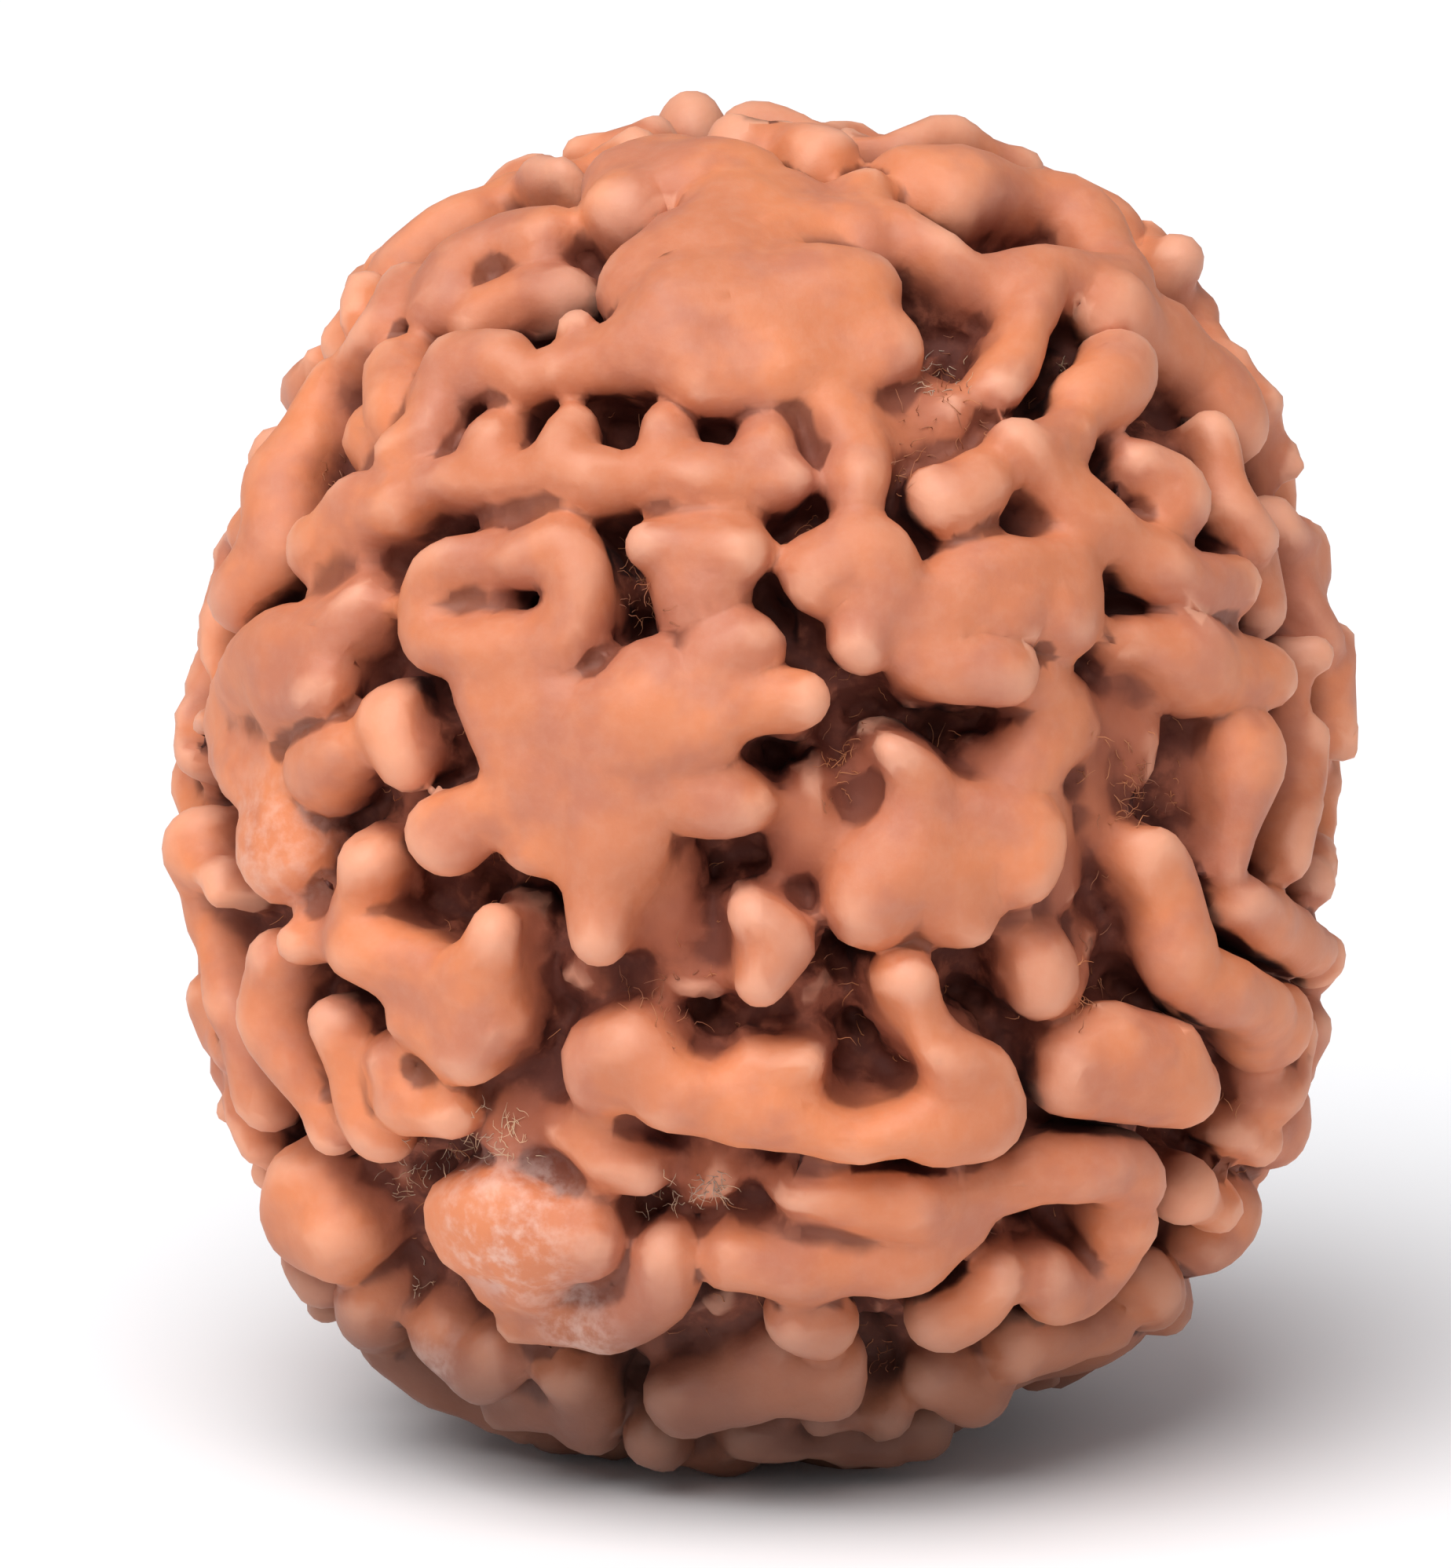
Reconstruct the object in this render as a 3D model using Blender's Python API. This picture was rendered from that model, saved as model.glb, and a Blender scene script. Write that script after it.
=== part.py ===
"""A rudraksha bead: the ribbed stone of a rudraksha fruit, standing on a small flat spot.

+Z is the bead's thread axis and -Y its front. The origin is the middle of the flat spot.
"""
import math
import random

import bmesh
import bpy
from mathutils import Matrix, Vector, noise

MM = 0.001

# The bead's outer form, over the tops of its ridges
HALF_WIDTH = 11.0 * MM
HALF_HEIGHT = 12.65 * MM
SQUARENESS = 2.3
CENTRE = Vector((0, 0, 12.25)) * MM

# The axis stands a little off the middle of the ridged bead's box
AXIS_AT = Vector((-0.106, 0.106, 0)) * MM

# Swellings and dents of that form: azimuth and elevation in degrees, rise in mm, reach in degrees
SWELLS = [
    (-72, -55, 0.40, 26),
    (-102, 42, -0.55, 30),
    (102, 44, 0.15, 24),
]

# A ridge's rounded cap, and the flanks that spread from it to its foot
CAP_HALF_DEPTH = 0.55 * MM
FLANK_SPREAD = 0.3 * MM
FLANK_DEPTH = 1.4 * MM
FLANK_HALF_DEPTH = 1.4 * MM
STEP_SHARE = 0.45

# The floor of the furrows between the ridges, under the outer form
FLOOR_DEPTH = 1.45 * MM
FLOOR_WAVES = 0.12 * MM
PIT_DEPTH = 0.8 * MM

# The front's ridges are drawn at their crests, and their sides stand out by this much
FRONT_SWELL = 0.1 * MM

# Ridges of the sides and the back grow by a rule, with sizes drawn between these limits
SEED = 11
GROWTH_STEP = 0.35 * MM
HALF_WIDTHS = (0.36 * MM, 0.9 * MM)
LENGTHS = (0.4 * MM, 6.0 * MM)
LIFTS = (-0.2 * MM, 0.1 * MM)
BULGE_SHARE = 0.28
GAP = 0.22 * MM
GROWTH_TRIES = 12000
JOINING_SHARE = 0.7
FRONT_LIMIT = 0.3

# Seams from pole to pole part the stone's faces: azimuths from the front, in degrees
SEAM_AZIMUTHS = (93, 139, 186, 231, 272)
SEAM_HALF_WIDTH = 0.15 * MM

# The pits at the two poles, where the thread canal's mouths are
MOUTH_RADIUS = 0.75 * MM
MOUTH_DEPTH = 3.0 * MM
MOUTH_CLEARANCE = 0.35 * MM

# The surface: the grain at which the ridges fuse, and the facets kept
FUSE_GRAIN = 0.22 * MM
FACETS = 11400

# How the ridges of the front are drawn: on a plane through the bead's centre, seen by an eye
VIEW_ELEVATION = math.radians(12)
VIEW_DISTANCE = 260 * MM
VIEW_RIGHT = Vector((1, 0, 0))
VIEW_UP = Vector((0, math.sin(VIEW_ELEVATION), math.cos(VIEW_ELEVATION)))
VIEW_BACK = Vector((0, -math.cos(VIEW_ELEVATION), math.sin(VIEW_ELEVATION)))

# Ridges of the front, as (lift, [(across, up, half width), ...]) in mm
FRONT_RIDGES = [
    # crown
    (0.0, [(-2.6, 10.6, 0.5), (-2.2, 11.3, 0.85), (-1.4, 11.2, 0.9), (-0.6, 11.1, 0.8)]),
    (0.1, [(-0.2, 11.8, 0.5), (0.5, 11.85, 0.6), (1.2, 11.55, 0.5)]),
    (0.0, [(1.9, 10.3, 0.6), (1.9, 11.0, 0.45)]),
    # great plateau under the crown
    (0.0, [(-2.0, 9.3, 0.75), (-1.0, 9.9, 1.0), (0.3, 10.3, 1.0), (1.5, 10.5, 0.85)]),
    (0.05, [(-1.5, 8.6, 0.9), (-0.3, 8.8, 1.1), (1.0, 9.0, 1.2), (1.9, 9.2, 0.6)]),
    (-0.1, [(-1.0, 7.8, 0.7), (0.2, 7.9, 0.8), (1.2, 8.1, 0.9), (2.3, 8.4, 0.6)]),
    (0.0, [(-0.4, 10.6, 0.8), (0.6, 10.9, 0.7)]),
    (0.0, [(-3.7, 7.7, 0.32), (-3.0, 7.95, 0.38), (-2.2, 8.1, 0.5), (-1.4, 8.0, 0.6)]),
    (-0.1, [(-3.2, 8.0, 0.25), (-3.4, 8.4, 0.2)]),
    # left shoulder
    (0.0, [(-3.6, 11.2, 0.3), (-4.4, 11.05, 0.42), (-5.3, 10.5, 0.42), (-6.1, 9.9, 0.42),
           (-6.8, 9.3, 0.42)]),
    (0.1, [(-4.0, 10.25, 0.75), (-4.9, 10.0, 0.6), (-5.6, 9.4, 0.6), (-5.8, 9.1, 0.5)]),
    (0.0, [(-6.5, 9.1, 0.35), (-6.9, 8.4, 0.35), (-7.6, 7.8, 0.35)]),
    (-0.1, [(-6.8, 7.75, 0.42), (-6.7, 7.2, 0.35)]),
    (0.0, [(-4.3, 7.45, 0.28), (-4.9, 7.8, 0.4), (-5.5, 7.7, 0.5), (-5.9, 7.2, 0.4), (-6.1, 6.5, 0.32),
           (-6.6, 6.0, 0.3)]),
    # comb
    (-0.05, [(-5.6, 5.6, 0.35), (-4.6, 5.65, 0.42), (-3.6, 5.7, 0.42), (-2.6, 5.65, 0.36),
             (-1.5, 5.65, 0.4),
             (-0.5, 5.65, 0.4), (0.4, 5.7, 0.4)]),
    (0.0, [(-5.2, 5.9, 0.4), (-5.0, 6.5, 0.45)]),
    (0.0, [(-3.8, 5.9, 0.5), (-3.6, 6.4, 0.5)]),
    (-0.1, [(-1.9, 5.9, 0.4), (-1.8, 6.7, 0.36)]),
    (-0.1, [(0.1, 5.9, 0.5), (0.1, 6.4, 0.45)]),
    # right crown, with its bar and strut
    (0.0, [(2.7, 11.3, 0.5), (3.5, 11.0, 0.7), (4.1, 11.0, 0.6), (4.9, 10.9, 0.6), (5.8, 10.5, 0.6),
           (6.4, 9.9, 0.6),
           (6.7, 9.4, 0.5)]),
    (-0.05, [(2.5, 10.4, 0.3), (3.3, 9.8, 0.25), (4.1, 9.45, 0.3), (5.0, 9.5, 0.42), (6.0, 9.4, 0.5),
             (6.8, 9.1, 0.5)]),
    (-0.1, [(5.0, 9.2, 0.35), (4.85, 8.6, 0.26), (4.7, 8.0, 0.3), (4.4, 7.4, 0.35)]),
    (-0.1, [(6.4, 8.9, 0.5), (6.9, 8.6, 0.5), (7.6, 8.6, 0.6), (8.3, 8.2, 0.6), (8.8, 7.5, 0.6),
            (9.0, 6.8, 0.5)]),
    (0.0, [(6.8, 7.6, 0.42), (6.5, 7.0, 0.4), (6.4, 6.6, 0.3)]),
    # right shoulder
    (-0.1, [(8.35, 6.5, 0.28), (8.6, 5.9, 0.35), (8.8, 5.2, 0.4), (9.1, 4.6, 0.4)]),
    (0.0, [(7.0, 5.9, 0.4), (7.5, 5.6, 0.42), (7.7, 5.1, 0.4)]),
    (0.0, [(9.8, 4.9, 0.45), (10.2, 4.4, 0.5), (10.3, 3.6, 0.5), (10.3, 2.8, 0.45)]),
    (0.05, [(4.6, 6.2, 0.3), (5.2, 5.8, 0.52), (5.9, 5.2, 0.52), (6.7, 4.6, 0.48), (7.4, 4.1, 0.42),
            (8.1, 3.75, 0.4),
            (8.8, 3.65, 0.38)]),
    (0.0, [(5.2, 6.2, 0.35), (5.8, 6.45, 0.34)]),
    (0.15, [(3.5, 5.3, 0.62), (4.0, 5.5, 0.6)]),
    (-0.2, [(1.5, 7.1, 0.5), (1.8, 6.5, 0.42), (1.8, 5.8, 0.38), (1.8, 5.3, 0.3)]),
    # upper left face
    (0.0, [(-7.9, 7.5, 0.4), (-8.2, 7.0, 0.4), (-8.5, 6.3, 0.6), (-8.9, 5.4, 0.75), (-9.1, 4.5, 0.75),
           (-9.5, 3.5, 0.5)]),
    (0.0, [(-6.7, 5.2, 0.48), (-7.4, 5.0, 0.55), (-8.2, 4.4, 0.6)]),
    (-0.2, [(-6.1, 5.5, 0.3)]),
    # left face
    (0.05, [(-7.4, 3.4, 0.5), (-7.9, 3.0, 0.6), (-8.8, 2.3, 0.7), (-9.6, 1.7, 0.7), (-10.0, 1.1, 0.55)]),
    (0.0, [(-8.1, 1.9, 0.5), (-8.9, 1.6, 0.6)]),
    (0.0, [(-9.9, 0.6, 0.6), (-9.3, 0.2, 0.75), (-9.0, -0.6, 0.8), (-8.8, -1.3, 0.7)]),
    (-0.1, [(-8.3, 0.3, 0.6), (-7.6, 0.7, 0.4)]),
    (0.1, [(-6.95, 1.2, 0.55), (-6.7, 0.6, 0.5)]),
    # ring
    (0.05, [(-4.9, 4.3, 0.38), (-5.6, 4.1, 0.42), (-6.2, 3.6, 0.48), (-6.2, 2.8, 0.52), (-5.5, 2.5, 0.55),
            (-4.8, 2.3, 0.55), (-4.0, 2.5, 0.5), (-3.5, 3.0, 0.5), (-3.4, 3.7, 0.42), (-3.7, 4.3, 0.42),
            (-4.3, 4.3, 0.34)]),
    (-0.55, [(-5.6, 3.6, 0.4), (-5.2, 3.5, 0.4)]),
    # plateau left of the middle
    (0.0, [(-5.1, 1.7, 0.75), (-4.7, 0.9, 0.7), (-4.2, 0.2, 0.65)]),
    (0.05, [(-4.2, 1.3, 0.75), (-3.2, 0.9, 0.85), (-2.2, 1.2, 0.9), (-1.2, 1.2, 0.75)]),
    (0.0, [(-4.4, -0.3, 0.6), (-5.2, -0.5, 0.5), (-5.8, -0.9, 0.55)]),
    (0.0, [(-3.6, -0.3, 0.75), (-4.0, -1.0, 0.65)]),
    (0.1, [(-2.8, -0.2, 0.85), (-2.8, -1.2, 0.75), (-2.9, -2.0, 0.62), (-2.9, -2.7, 0.5)]),
    (0.0, [(-2.3, 1.9, 0.5), (-1.8, 1.9, 0.5)]),
    (-0.15, [(-1.6, 0.2, 0.8), (-0.8, -0.2, 0.6), (-0.2, -0.4, 0.4)]),
    (0.0, [(-0.8, 2.2, 0.5), (-0.4, 2.5, 0.45)]),
    (0.1, [(-0.5, 1.5, 0.5), (0.2, 1.45, 0.4), (0.65, 1.4, 0.38)]),
    # three-cornered lobe
    (0.1, [(-2.0, 4.45, 0.32), (-1.3, 4.35, 0.4), (-0.5, 4.35, 0.4)]),
    (0.0, [(-1.2, 4.1, 0.55), (-1.1, 3.6, 0.48), (-1.0, 3.0, 0.34), (-0.8, 2.5, 0.4)]),
    # double-headed lobe right of the middle
    (0.05, [(1.3, 4.1, 0.58), (1.9, 4.3, 0.58), (2.2, 3.6, 0.55), (2.1, 2.8, 0.45)]),
    (0.0, [(2.4, 3.3, 0.55), (3.0, 2.9, 0.62), (3.4, 2.3, 0.6), (4.1, 2.1, 0.4), (4.4, 2.05, 0.28)]),
    (0.1, [(3.3, 3.0, 0.5), (3.8, 3.6, 0.55), (4.3, 4.0, 0.45), (5.0, 3.95, 0.5), (5.7, 3.8, 0.7),
           (5.7, 3.3, 0.68)]),
    # right face
    (0.0, [(6.9, 2.6, 0.38), (7.8, 2.3, 0.55), (8.7, 2.1, 0.62), (9.3, 2.1, 0.45)]),
    (-0.45, [(5.3, 1.9, 0.45), (5.9, 1.5, 0.45), (6.3, 1.0, 0.42), (5.7, 0.7, 0.4), (5.0, 0.4, 0.4)]),
    (0.0, [(9.0, 0.5, 0.48), (9.0, -0.1, 0.42), (8.9, -0.7, 0.28), (8.7, -1.3, 0.25)]),
    (0.0, [(10.2, 0.8, 0.45), (10.2, 0.1, 0.45), (9.9, -0.6, 0.35), (9.7, -1.3, 0.35)]),
    (0.0, [(8.8, -2.1, 0.32), (9.4, -2.5, 0.42), (10.0, -3.0, 0.42), (10.3, -3.3, 0.38)]),
    (0.0, [(10.2, -1.8, 0.38)]),
    (0.05, [(7.2, -1.2, 0.48), (7.6, -2.0, 0.55), (7.7, -2.8, 0.6), (7.9, -3.4, 0.42), (8.6, -3.95, 0.42),
            (9.2, -4.3, 0.5), (9.5, -4.4, 0.45)]),
    # plateau right of the middle
    (0.05, [(2.4, 0.55, 0.42), (2.9, 0.0, 0.7), (2.9, -0.8, 0.85), (2.5, -1.6, 0.95), (2.0, -2.1, 0.7)]),
    (-0.05, [(3.7, -0.6, 0.65), (4.3, -0.9, 0.75), (4.9, -1.2, 0.65), (4.9, -1.7, 0.55)]),
    (0.0, [(3.5, -1.7, 0.85), (3.6, -2.3, 0.6), (3.9, -2.6, 0.42)]),
    (0.1, [(-0.1, -2.4, 0.45), (0.2, -2.9, 0.68), (0.0, -3.5, 0.55)]),
    (-0.2, [(5.2, -3.2, 0.45), (5.2, -3.8, 0.38)]),
    (0.15, [(6.0, -5.3, 0.62), (6.6, -5.2, 0.75), (7.3, -5.3, 0.8), (7.8, -5.5, 0.6)]),
    # left hook
    (0.05, [(-7.3, -1.4, 0.42), (-7.5, -2.1, 0.42), (-7.6, -2.8, 0.62), (-6.9, -3.3, 0.55),
            (-6.2, -3.7, 0.6),
            (-5.6, -4.2, 0.7), (-5.1, -4.4, 0.68)]),
    (0.0, [(-8.4, -2.85, 0.3), (-7.9, -2.9, 0.4), (-7.4, -3.2, 0.5)]),
    (0.05, [(-6.4, -4.3, 0.45), (-5.7, -4.7, 0.5), (-5.2, -4.8, 0.45)]),
    (0.1, [(-5.2, -3.8, 0.65), (-4.9, -3.2, 0.5), (-4.75, -2.7, 0.42)]),
    # lower left strips
    (0.0, [(-10.3, -1.0, 0.4), (-10.3, -2.2, 0.45), (-10.1, -3.2, 0.45), (-9.8, -4.2, 0.42),
           (-9.5, -5.2, 0.4),
           (-9.3, -5.9, 0.38)]),
    (0.0, [(-8.9, -3.3, 0.4), (-9.0, -4.1, 0.38), (-8.7, -5.0, 0.36), (-8.3, -5.9, 0.32),
           (-8.0, -6.4, 0.3)]),
    (0.0, [(-7.9, -4.4, 0.36), (-7.7, -5.2, 0.32), (-7.5, -5.9, 0.36), (-7.2, -6.5, 0.38)]),
    (-0.1, [(-6.9, -5.2, 0.4), (-6.6, -5.8, 0.48), (-5.8, -6.0, 0.38)]),
    # great lower lobe
    (0.2, [(-2.9, -5.4, 0.75), (-2.3, -5.2, 0.8), (-1.9, -5.6, 0.7), (-1.0, -5.8, 0.55), (-0.1, -5.9, 0.7),
           (0.9, -6.1, 0.75), (1.8, -6.3, 0.65), (2.7, -6.0, 0.4), (3.5, -6.1, 0.6), (4.0, -6.0, 0.75)]),
    (0.15, [(2.7, -3.7, 0.46), (3.0, -4.4, 0.5), (3.5, -5.0, 0.5), (3.9, -5.5, 0.65)]),
    (0.0, [(0.0, -5.3, 0.45), (0.8, -5.3, 0.45)]),
    (-0.25, [(-3.6, -6.8, 0.35), (-3.0, -7.1, 0.42), (-2.5, -7.5, 0.38)]),
    # knobs of the lower left
    (0.1, [(-8.4, -7.5, 0.75), (-8.3, -8.1, 0.8), (-7.8, -8.2, 0.65)]),
    (0.05, [(-5.3, -8.4, 0.75), (-4.5, -8.5, 0.95), (-3.7, -8.5, 0.85)]),
    (0.0, [(-4.9, -9.2, 0.6), (-4.2, -9.2, 0.6)]),
    (-0.1, [(-4.4, -10.0, 0.35), (-3.4, -9.95, 0.5), (-2.6, -9.9, 0.55), (-2.0, -9.4, 0.45),
            (-1.75, -8.8, 0.35)]),
    (0.0, [(-5.9, -10.3, 0.55), (-5.4, -10.7, 0.55), (-4.8, -10.6, 0.4)]),
    (0.0, [(-7.1, -9.5, 0.4), (-7.0, -10.2, 0.42), (-6.4, -10.8, 0.4), (-5.6, -11.3, 0.38),
           (-4.9, -11.5, 0.34)]),
    # shelves under the great lower lobe
    (-0.05, [(0.7, -7.6, 0.45), (1.8, -7.7, 0.45), (3.0, -7.8, 0.55), (4.2, -7.7, 0.6), (5.3, -7.3, 0.55),
             (6.4, -7.1, 0.55), (6.9, -7.3, 0.45)]),
    (-0.05, [(-0.4, -8.8, 0.5), (0.7, -8.9, 0.5), (1.8, -8.9, 0.5), (2.8, -8.7, 0.55), (3.8, -8.2, 0.55)]),
    (0.0, [(6.7, -8.0, 0.36), (6.4, -8.8, 0.36), (5.8, -9.3, 0.42), (5.1, -9.1, 0.36)]),
    (0.05, [(3.4, -9.9, 0.45), (4.0, -9.6, 0.45), (4.4, -9.1, 0.36)]),
    (-0.1, [(0.7, -9.8, 0.26), (1.2, -10.0, 0.36)]),
    # lower right edge
    (0.0, [(10.2, -4.6, 0.42), (9.8, -5.2, 0.38)]),
    (0.0, [(9.5, -5.9, 0.42), (9.5, -6.4, 0.36), (8.9, -6.5, 0.36)]),
    (0.0, [(8.0, -7.6, 0.45), (8.8, -7.9, 0.42), (8.1, -8.4, 0.45)]),
    (0.0, [(7.1, -9.3, 0.42), (7.4, -9.5, 0.34)]),
    (0.0, [(6.3, -10.0, 0.38), (5.6, -10.3, 0.42), (4.8, -10.4, 0.42)]),
    # underside as the front shows it
    (0.0, [(3.4, -11.0, 0.5), (4.0, -11.1, 0.42)]),
    (0.0, [(-1.3, -11.4, 0.65), (-0.5, -11.3, 0.65), (0.3, -11.0, 0.65), (1.1, -11.2, 0.55),
           (1.2, -10.8, 0.45)]),
    (0.0, [(-3.6, -10.9, 0.42), (-3.3, -11.4, 0.48), (-3.2, -11.8, 0.4)]),
    (0.0, [(3.0, -11.8, 0.5)]),
]

# The deepest pits of the front, as (across, up, reach) in mm
FRONT_PITS = [
    (1.3, 11.1, 0.3), (3.9, 10.0, 0.6), (2.8, 9.3, 0.4), (4.0, 8.5, 0.5), (5.7, 8.3, 0.4), (-4.0, 8.6, 1.0),
    (-2.8, 6.7, 0.4), (-1.0, 6.5, 0.4), (-2.4, 7.1, 0.3), (6.4, 5.8, 0.3), (-2.6, 4.8, 0.35),
    (0.3, 3.8, 0.35),
    (-2.2, 3.3, 0.6), (-4.5, 3.0, 0.5), (-3.2, 2.0, 0.3), (2.5, 1.5, 0.6), (3.6, 0.9, 0.6), (0.2, 0.6, 0.4),
    (-5.7, -2.4, 0.6), (-3.9, -2.2, 0.4), (-1.3, -1.9, 0.45), (0.8, -1.8, 0.35), (1.8, -3.4, 0.6),
    (-1.1, -4.6, 0.4), (2.2, -5.2, 0.5), (4.4, -4.6, 0.5), (5.8, -8.2, 0.45), (8.1, -7.2, 0.3),
    (-6.6, -8.1, 0.4), (-6.1, -9.2, 0.4), (-2.1, -8.8, 0.3), (-1.0, -9.9, 0.4), (2.2, -11.0, 0.35),
]


def heading(azimuth, elevation):
    """Unit vector at an azimuth from the front and an elevation, in degrees."""
    a = math.radians(azimuth)
    e = math.radians(elevation)
    return Vector((math.sin(a) * math.cos(e), -math.cos(a) * math.cos(e), math.sin(e)))


def outer_radius(direction):
    """Distance from the centre to the outer form."""
    across = math.hypot(direction.x, direction.y) / HALF_WIDTH
    along = abs(direction.z) / HALF_HEIGHT
    radius = (across ** SQUARENESS + along ** SQUARENESS) ** (-1 / SQUARENESS)
    for azimuth, elevation, rise, reach in SWELLS:
        angle = math.degrees(direction.angle(heading(azimuth, elevation)))
        radius += rise * MM * math.exp(-((angle / reach) ** 2))
    return radius


def cap_radius(direction):
    """Distance from the centre to the middle of a ridge's cap."""
    return outer_radius(direction) - CAP_HALF_DEPTH


def on_caps(direction):
    """The point on the caps' middle surface in a direction."""
    return CENTRE + direction * cap_radius(direction)


def outward(point):
    """Outward normal of the outer form at a point near it."""
    p = point - CENTRE
    power = SQUARENESS - 1
    across = math.hypot(p.x, p.y)
    pull = across ** (power - 1) / HALF_WIDTH ** SQUARENESS
    rise = math.copysign(abs(p.z) ** power / HALF_HEIGHT ** SQUARENESS, p.z)
    return Vector((p.x * pull, p.y * pull, rise)).normalized()


def seen_at(across, up):
    """Where the eye's ray through a point of the view plane, in mm, meets the caps' surface."""
    eye = CENTRE + VIEW_BACK * VIEW_DISTANCE
    aim = CENTRE + (VIEW_RIGHT * across + VIEW_UP * up) * MM
    ray = (aim - eye).normalized()
    nearest = eye + ray * (CENTRE - eye).dot(ray)
    inner = 0.0
    outer = 1.5 * HALF_HEIGHT
    for _ in range(30):
        middle = (inner + outer) / 2
        p = nearest - ray * middle - CENTRE
        if p.length > cap_radius(p.normalized()):
            outer = middle
        else:
            inner = middle
    return nearest - ray * inner


def along_curve(knots, step_share):
    """Samples of a smooth curve through knots of (place, half width), closer where it is narrow."""
    if len(knots) == 1:
        return list(knots)
    ends = [knots[0]] + knots + [knots[-1]]
    samples = []
    for before, start, end, after in zip(ends, ends[1:], ends[2:], ends[3:]):
        length = (end[0] - start[0]).length
        steps = max(1, round(length / (step_share * min(start[1], end[1]))))
        for i in range(steps):
            t = i / steps
            place = spline(before[0], start[0], end[0], after[0], t)
            half_width = start[1] + (end[1] - start[1]) * t
            samples.append((place, half_width))
    samples.append(knots[-1])
    return samples


def spline(before, start, end, after, t):
    """A point of the Catmull-Rom curve between start and end."""
    bend = (before * 2 - start * 5 + end * 4 - after) * t * t
    twist = (start * 3 - before - end * 3 + after) * t * t * t
    return (start * 2 + (end - before) * t + bend + twist) / 2


def front_ridges():
    """The front's ridges, each as a lift and samples of (place, half width)."""
    ridges = []
    for lift, drawn in FRONT_RIDGES:
        knots = [(Vector((across, up, 0)), half_width) for across, up, half_width in drawn]
        samples = [
            (seen_at(place.x, place.y), half_width * MM + FRONT_SWELL)
            for place, half_width in along_curve(knots, STEP_SHARE)
        ]
        ridges.append((lift * MM, samples))
    return ridges


def grow_ridges(taken, rng):
    """Ridges that each wind on from a free spot until they are long enough or meet a neighbour."""

    def room_at(direction):
        if direction.dot(VIEW_BACK) > FRONT_LIMIT:
            return -1.0
        return min(taken.clearance(on_caps(direction)), off_seams(direction))

    def wander(direction, bearing, bend, half_width, length, joins):
        arm = []
        for i in range(int(length / GROWTH_STEP)):
            east = Vector((0, 0, 1)).cross(direction).normalized()
            north = direction.cross(east)
            stride = (east * math.cos(bearing) + north * math.sin(bearing)) * GROWTH_STEP
            direction = (direction * cap_radius(direction) + stride).normalized()
            bearing += bend * rng.uniform(0, 1)
            bulged = half_width * (1 + BULGE_SHARE * math.sin(1.1 * i + bearing))
            width_here = max(HALF_WIDTHS[0], bulged)
            room = room_at(direction)
            if room < 0 or (not joins and room < width_here + GAP):
                break
            arm.append((on_caps(direction), width_here))
        return arm

    ridges = []
    for _ in range(GROWTH_TRIES):
        direction = Vector((rng.gauss(0, 1), rng.gauss(0, 1), rng.gauss(0, 1))).normalized()
        half_width = min(rng.uniform(*HALF_WIDTHS), room_at(direction) - GAP)
        if half_width < HALF_WIDTHS[0]:
            continue
        bearing = rng.uniform(0, math.tau)
        bend = rng.uniform(-0.4, 0.4)
        length = rng.uniform(*LENGTHS) / 2
        one_way = wander(direction, bearing, bend, half_width, length, rng.random() < JOINING_SHARE)
        other_way = wander(direction, bearing + math.pi, -bend, half_width, length, False)
        samples = other_way[::-1] + [(on_caps(direction), half_width)] + one_way
        ridges.append((rng.uniform(*LIFTS), samples))
        for place, width in samples:
            taken.add(place, width)
    return ridges


def off_seams(direction):
    """Distance along the surface to the nearest seam or to a pole's pit."""
    across = math.hypot(direction.x, direction.y) * cap_radius(direction)
    room = across - MOUTH_RADIUS - MOUTH_CLEARANCE
    azimuth = math.degrees(math.atan2(direction.x, -direction.y))
    for seam in SEAM_AZIMUTHS:
        wave = 5 * math.sin(6 * direction.z + seam)
        offset = math.radians((azimuth - seam - wave + 180) % 360 - 180)
        room = min(room, abs(offset) * across - SEAM_HALF_WIDTH)
    return room


class Crowd:
    """Placed samples in cells of a grid, to find the room left between ridges."""

    CELL = 2.2 * MM

    def __init__(self, samples):
        self.cells = {}
        for place, half_width in samples:
            self.add(place, half_width)

    def add(self, place, half_width):
        self.cells.setdefault(self.cell(place), []).append((place, half_width))

    def cell(self, place):
        return tuple(math.floor(c / self.CELL) for c in place)

    def clearance(self, place):
        """Distance from a place to the nearest ridge's side."""
        x, y, z = self.cell(place)
        room = self.CELL
        for i in range(x - 1, x + 2):
            for j in range(y - 1, y + 2):
                for k in range(z - 1, z + 2):
                    for other, half_width in self.cells.get((i, j, k), ()):
                        room = min(room, (other - place).length - half_width)
        return room


def all_ridges():
    """The front's drawn ridges, then those grown round them."""
    drawn = front_ridges()
    taken = Crowd([sample for _, samples in drawn for sample in samples])
    return drawn + grow_ridges(taken, random.Random(SEED))


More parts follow.
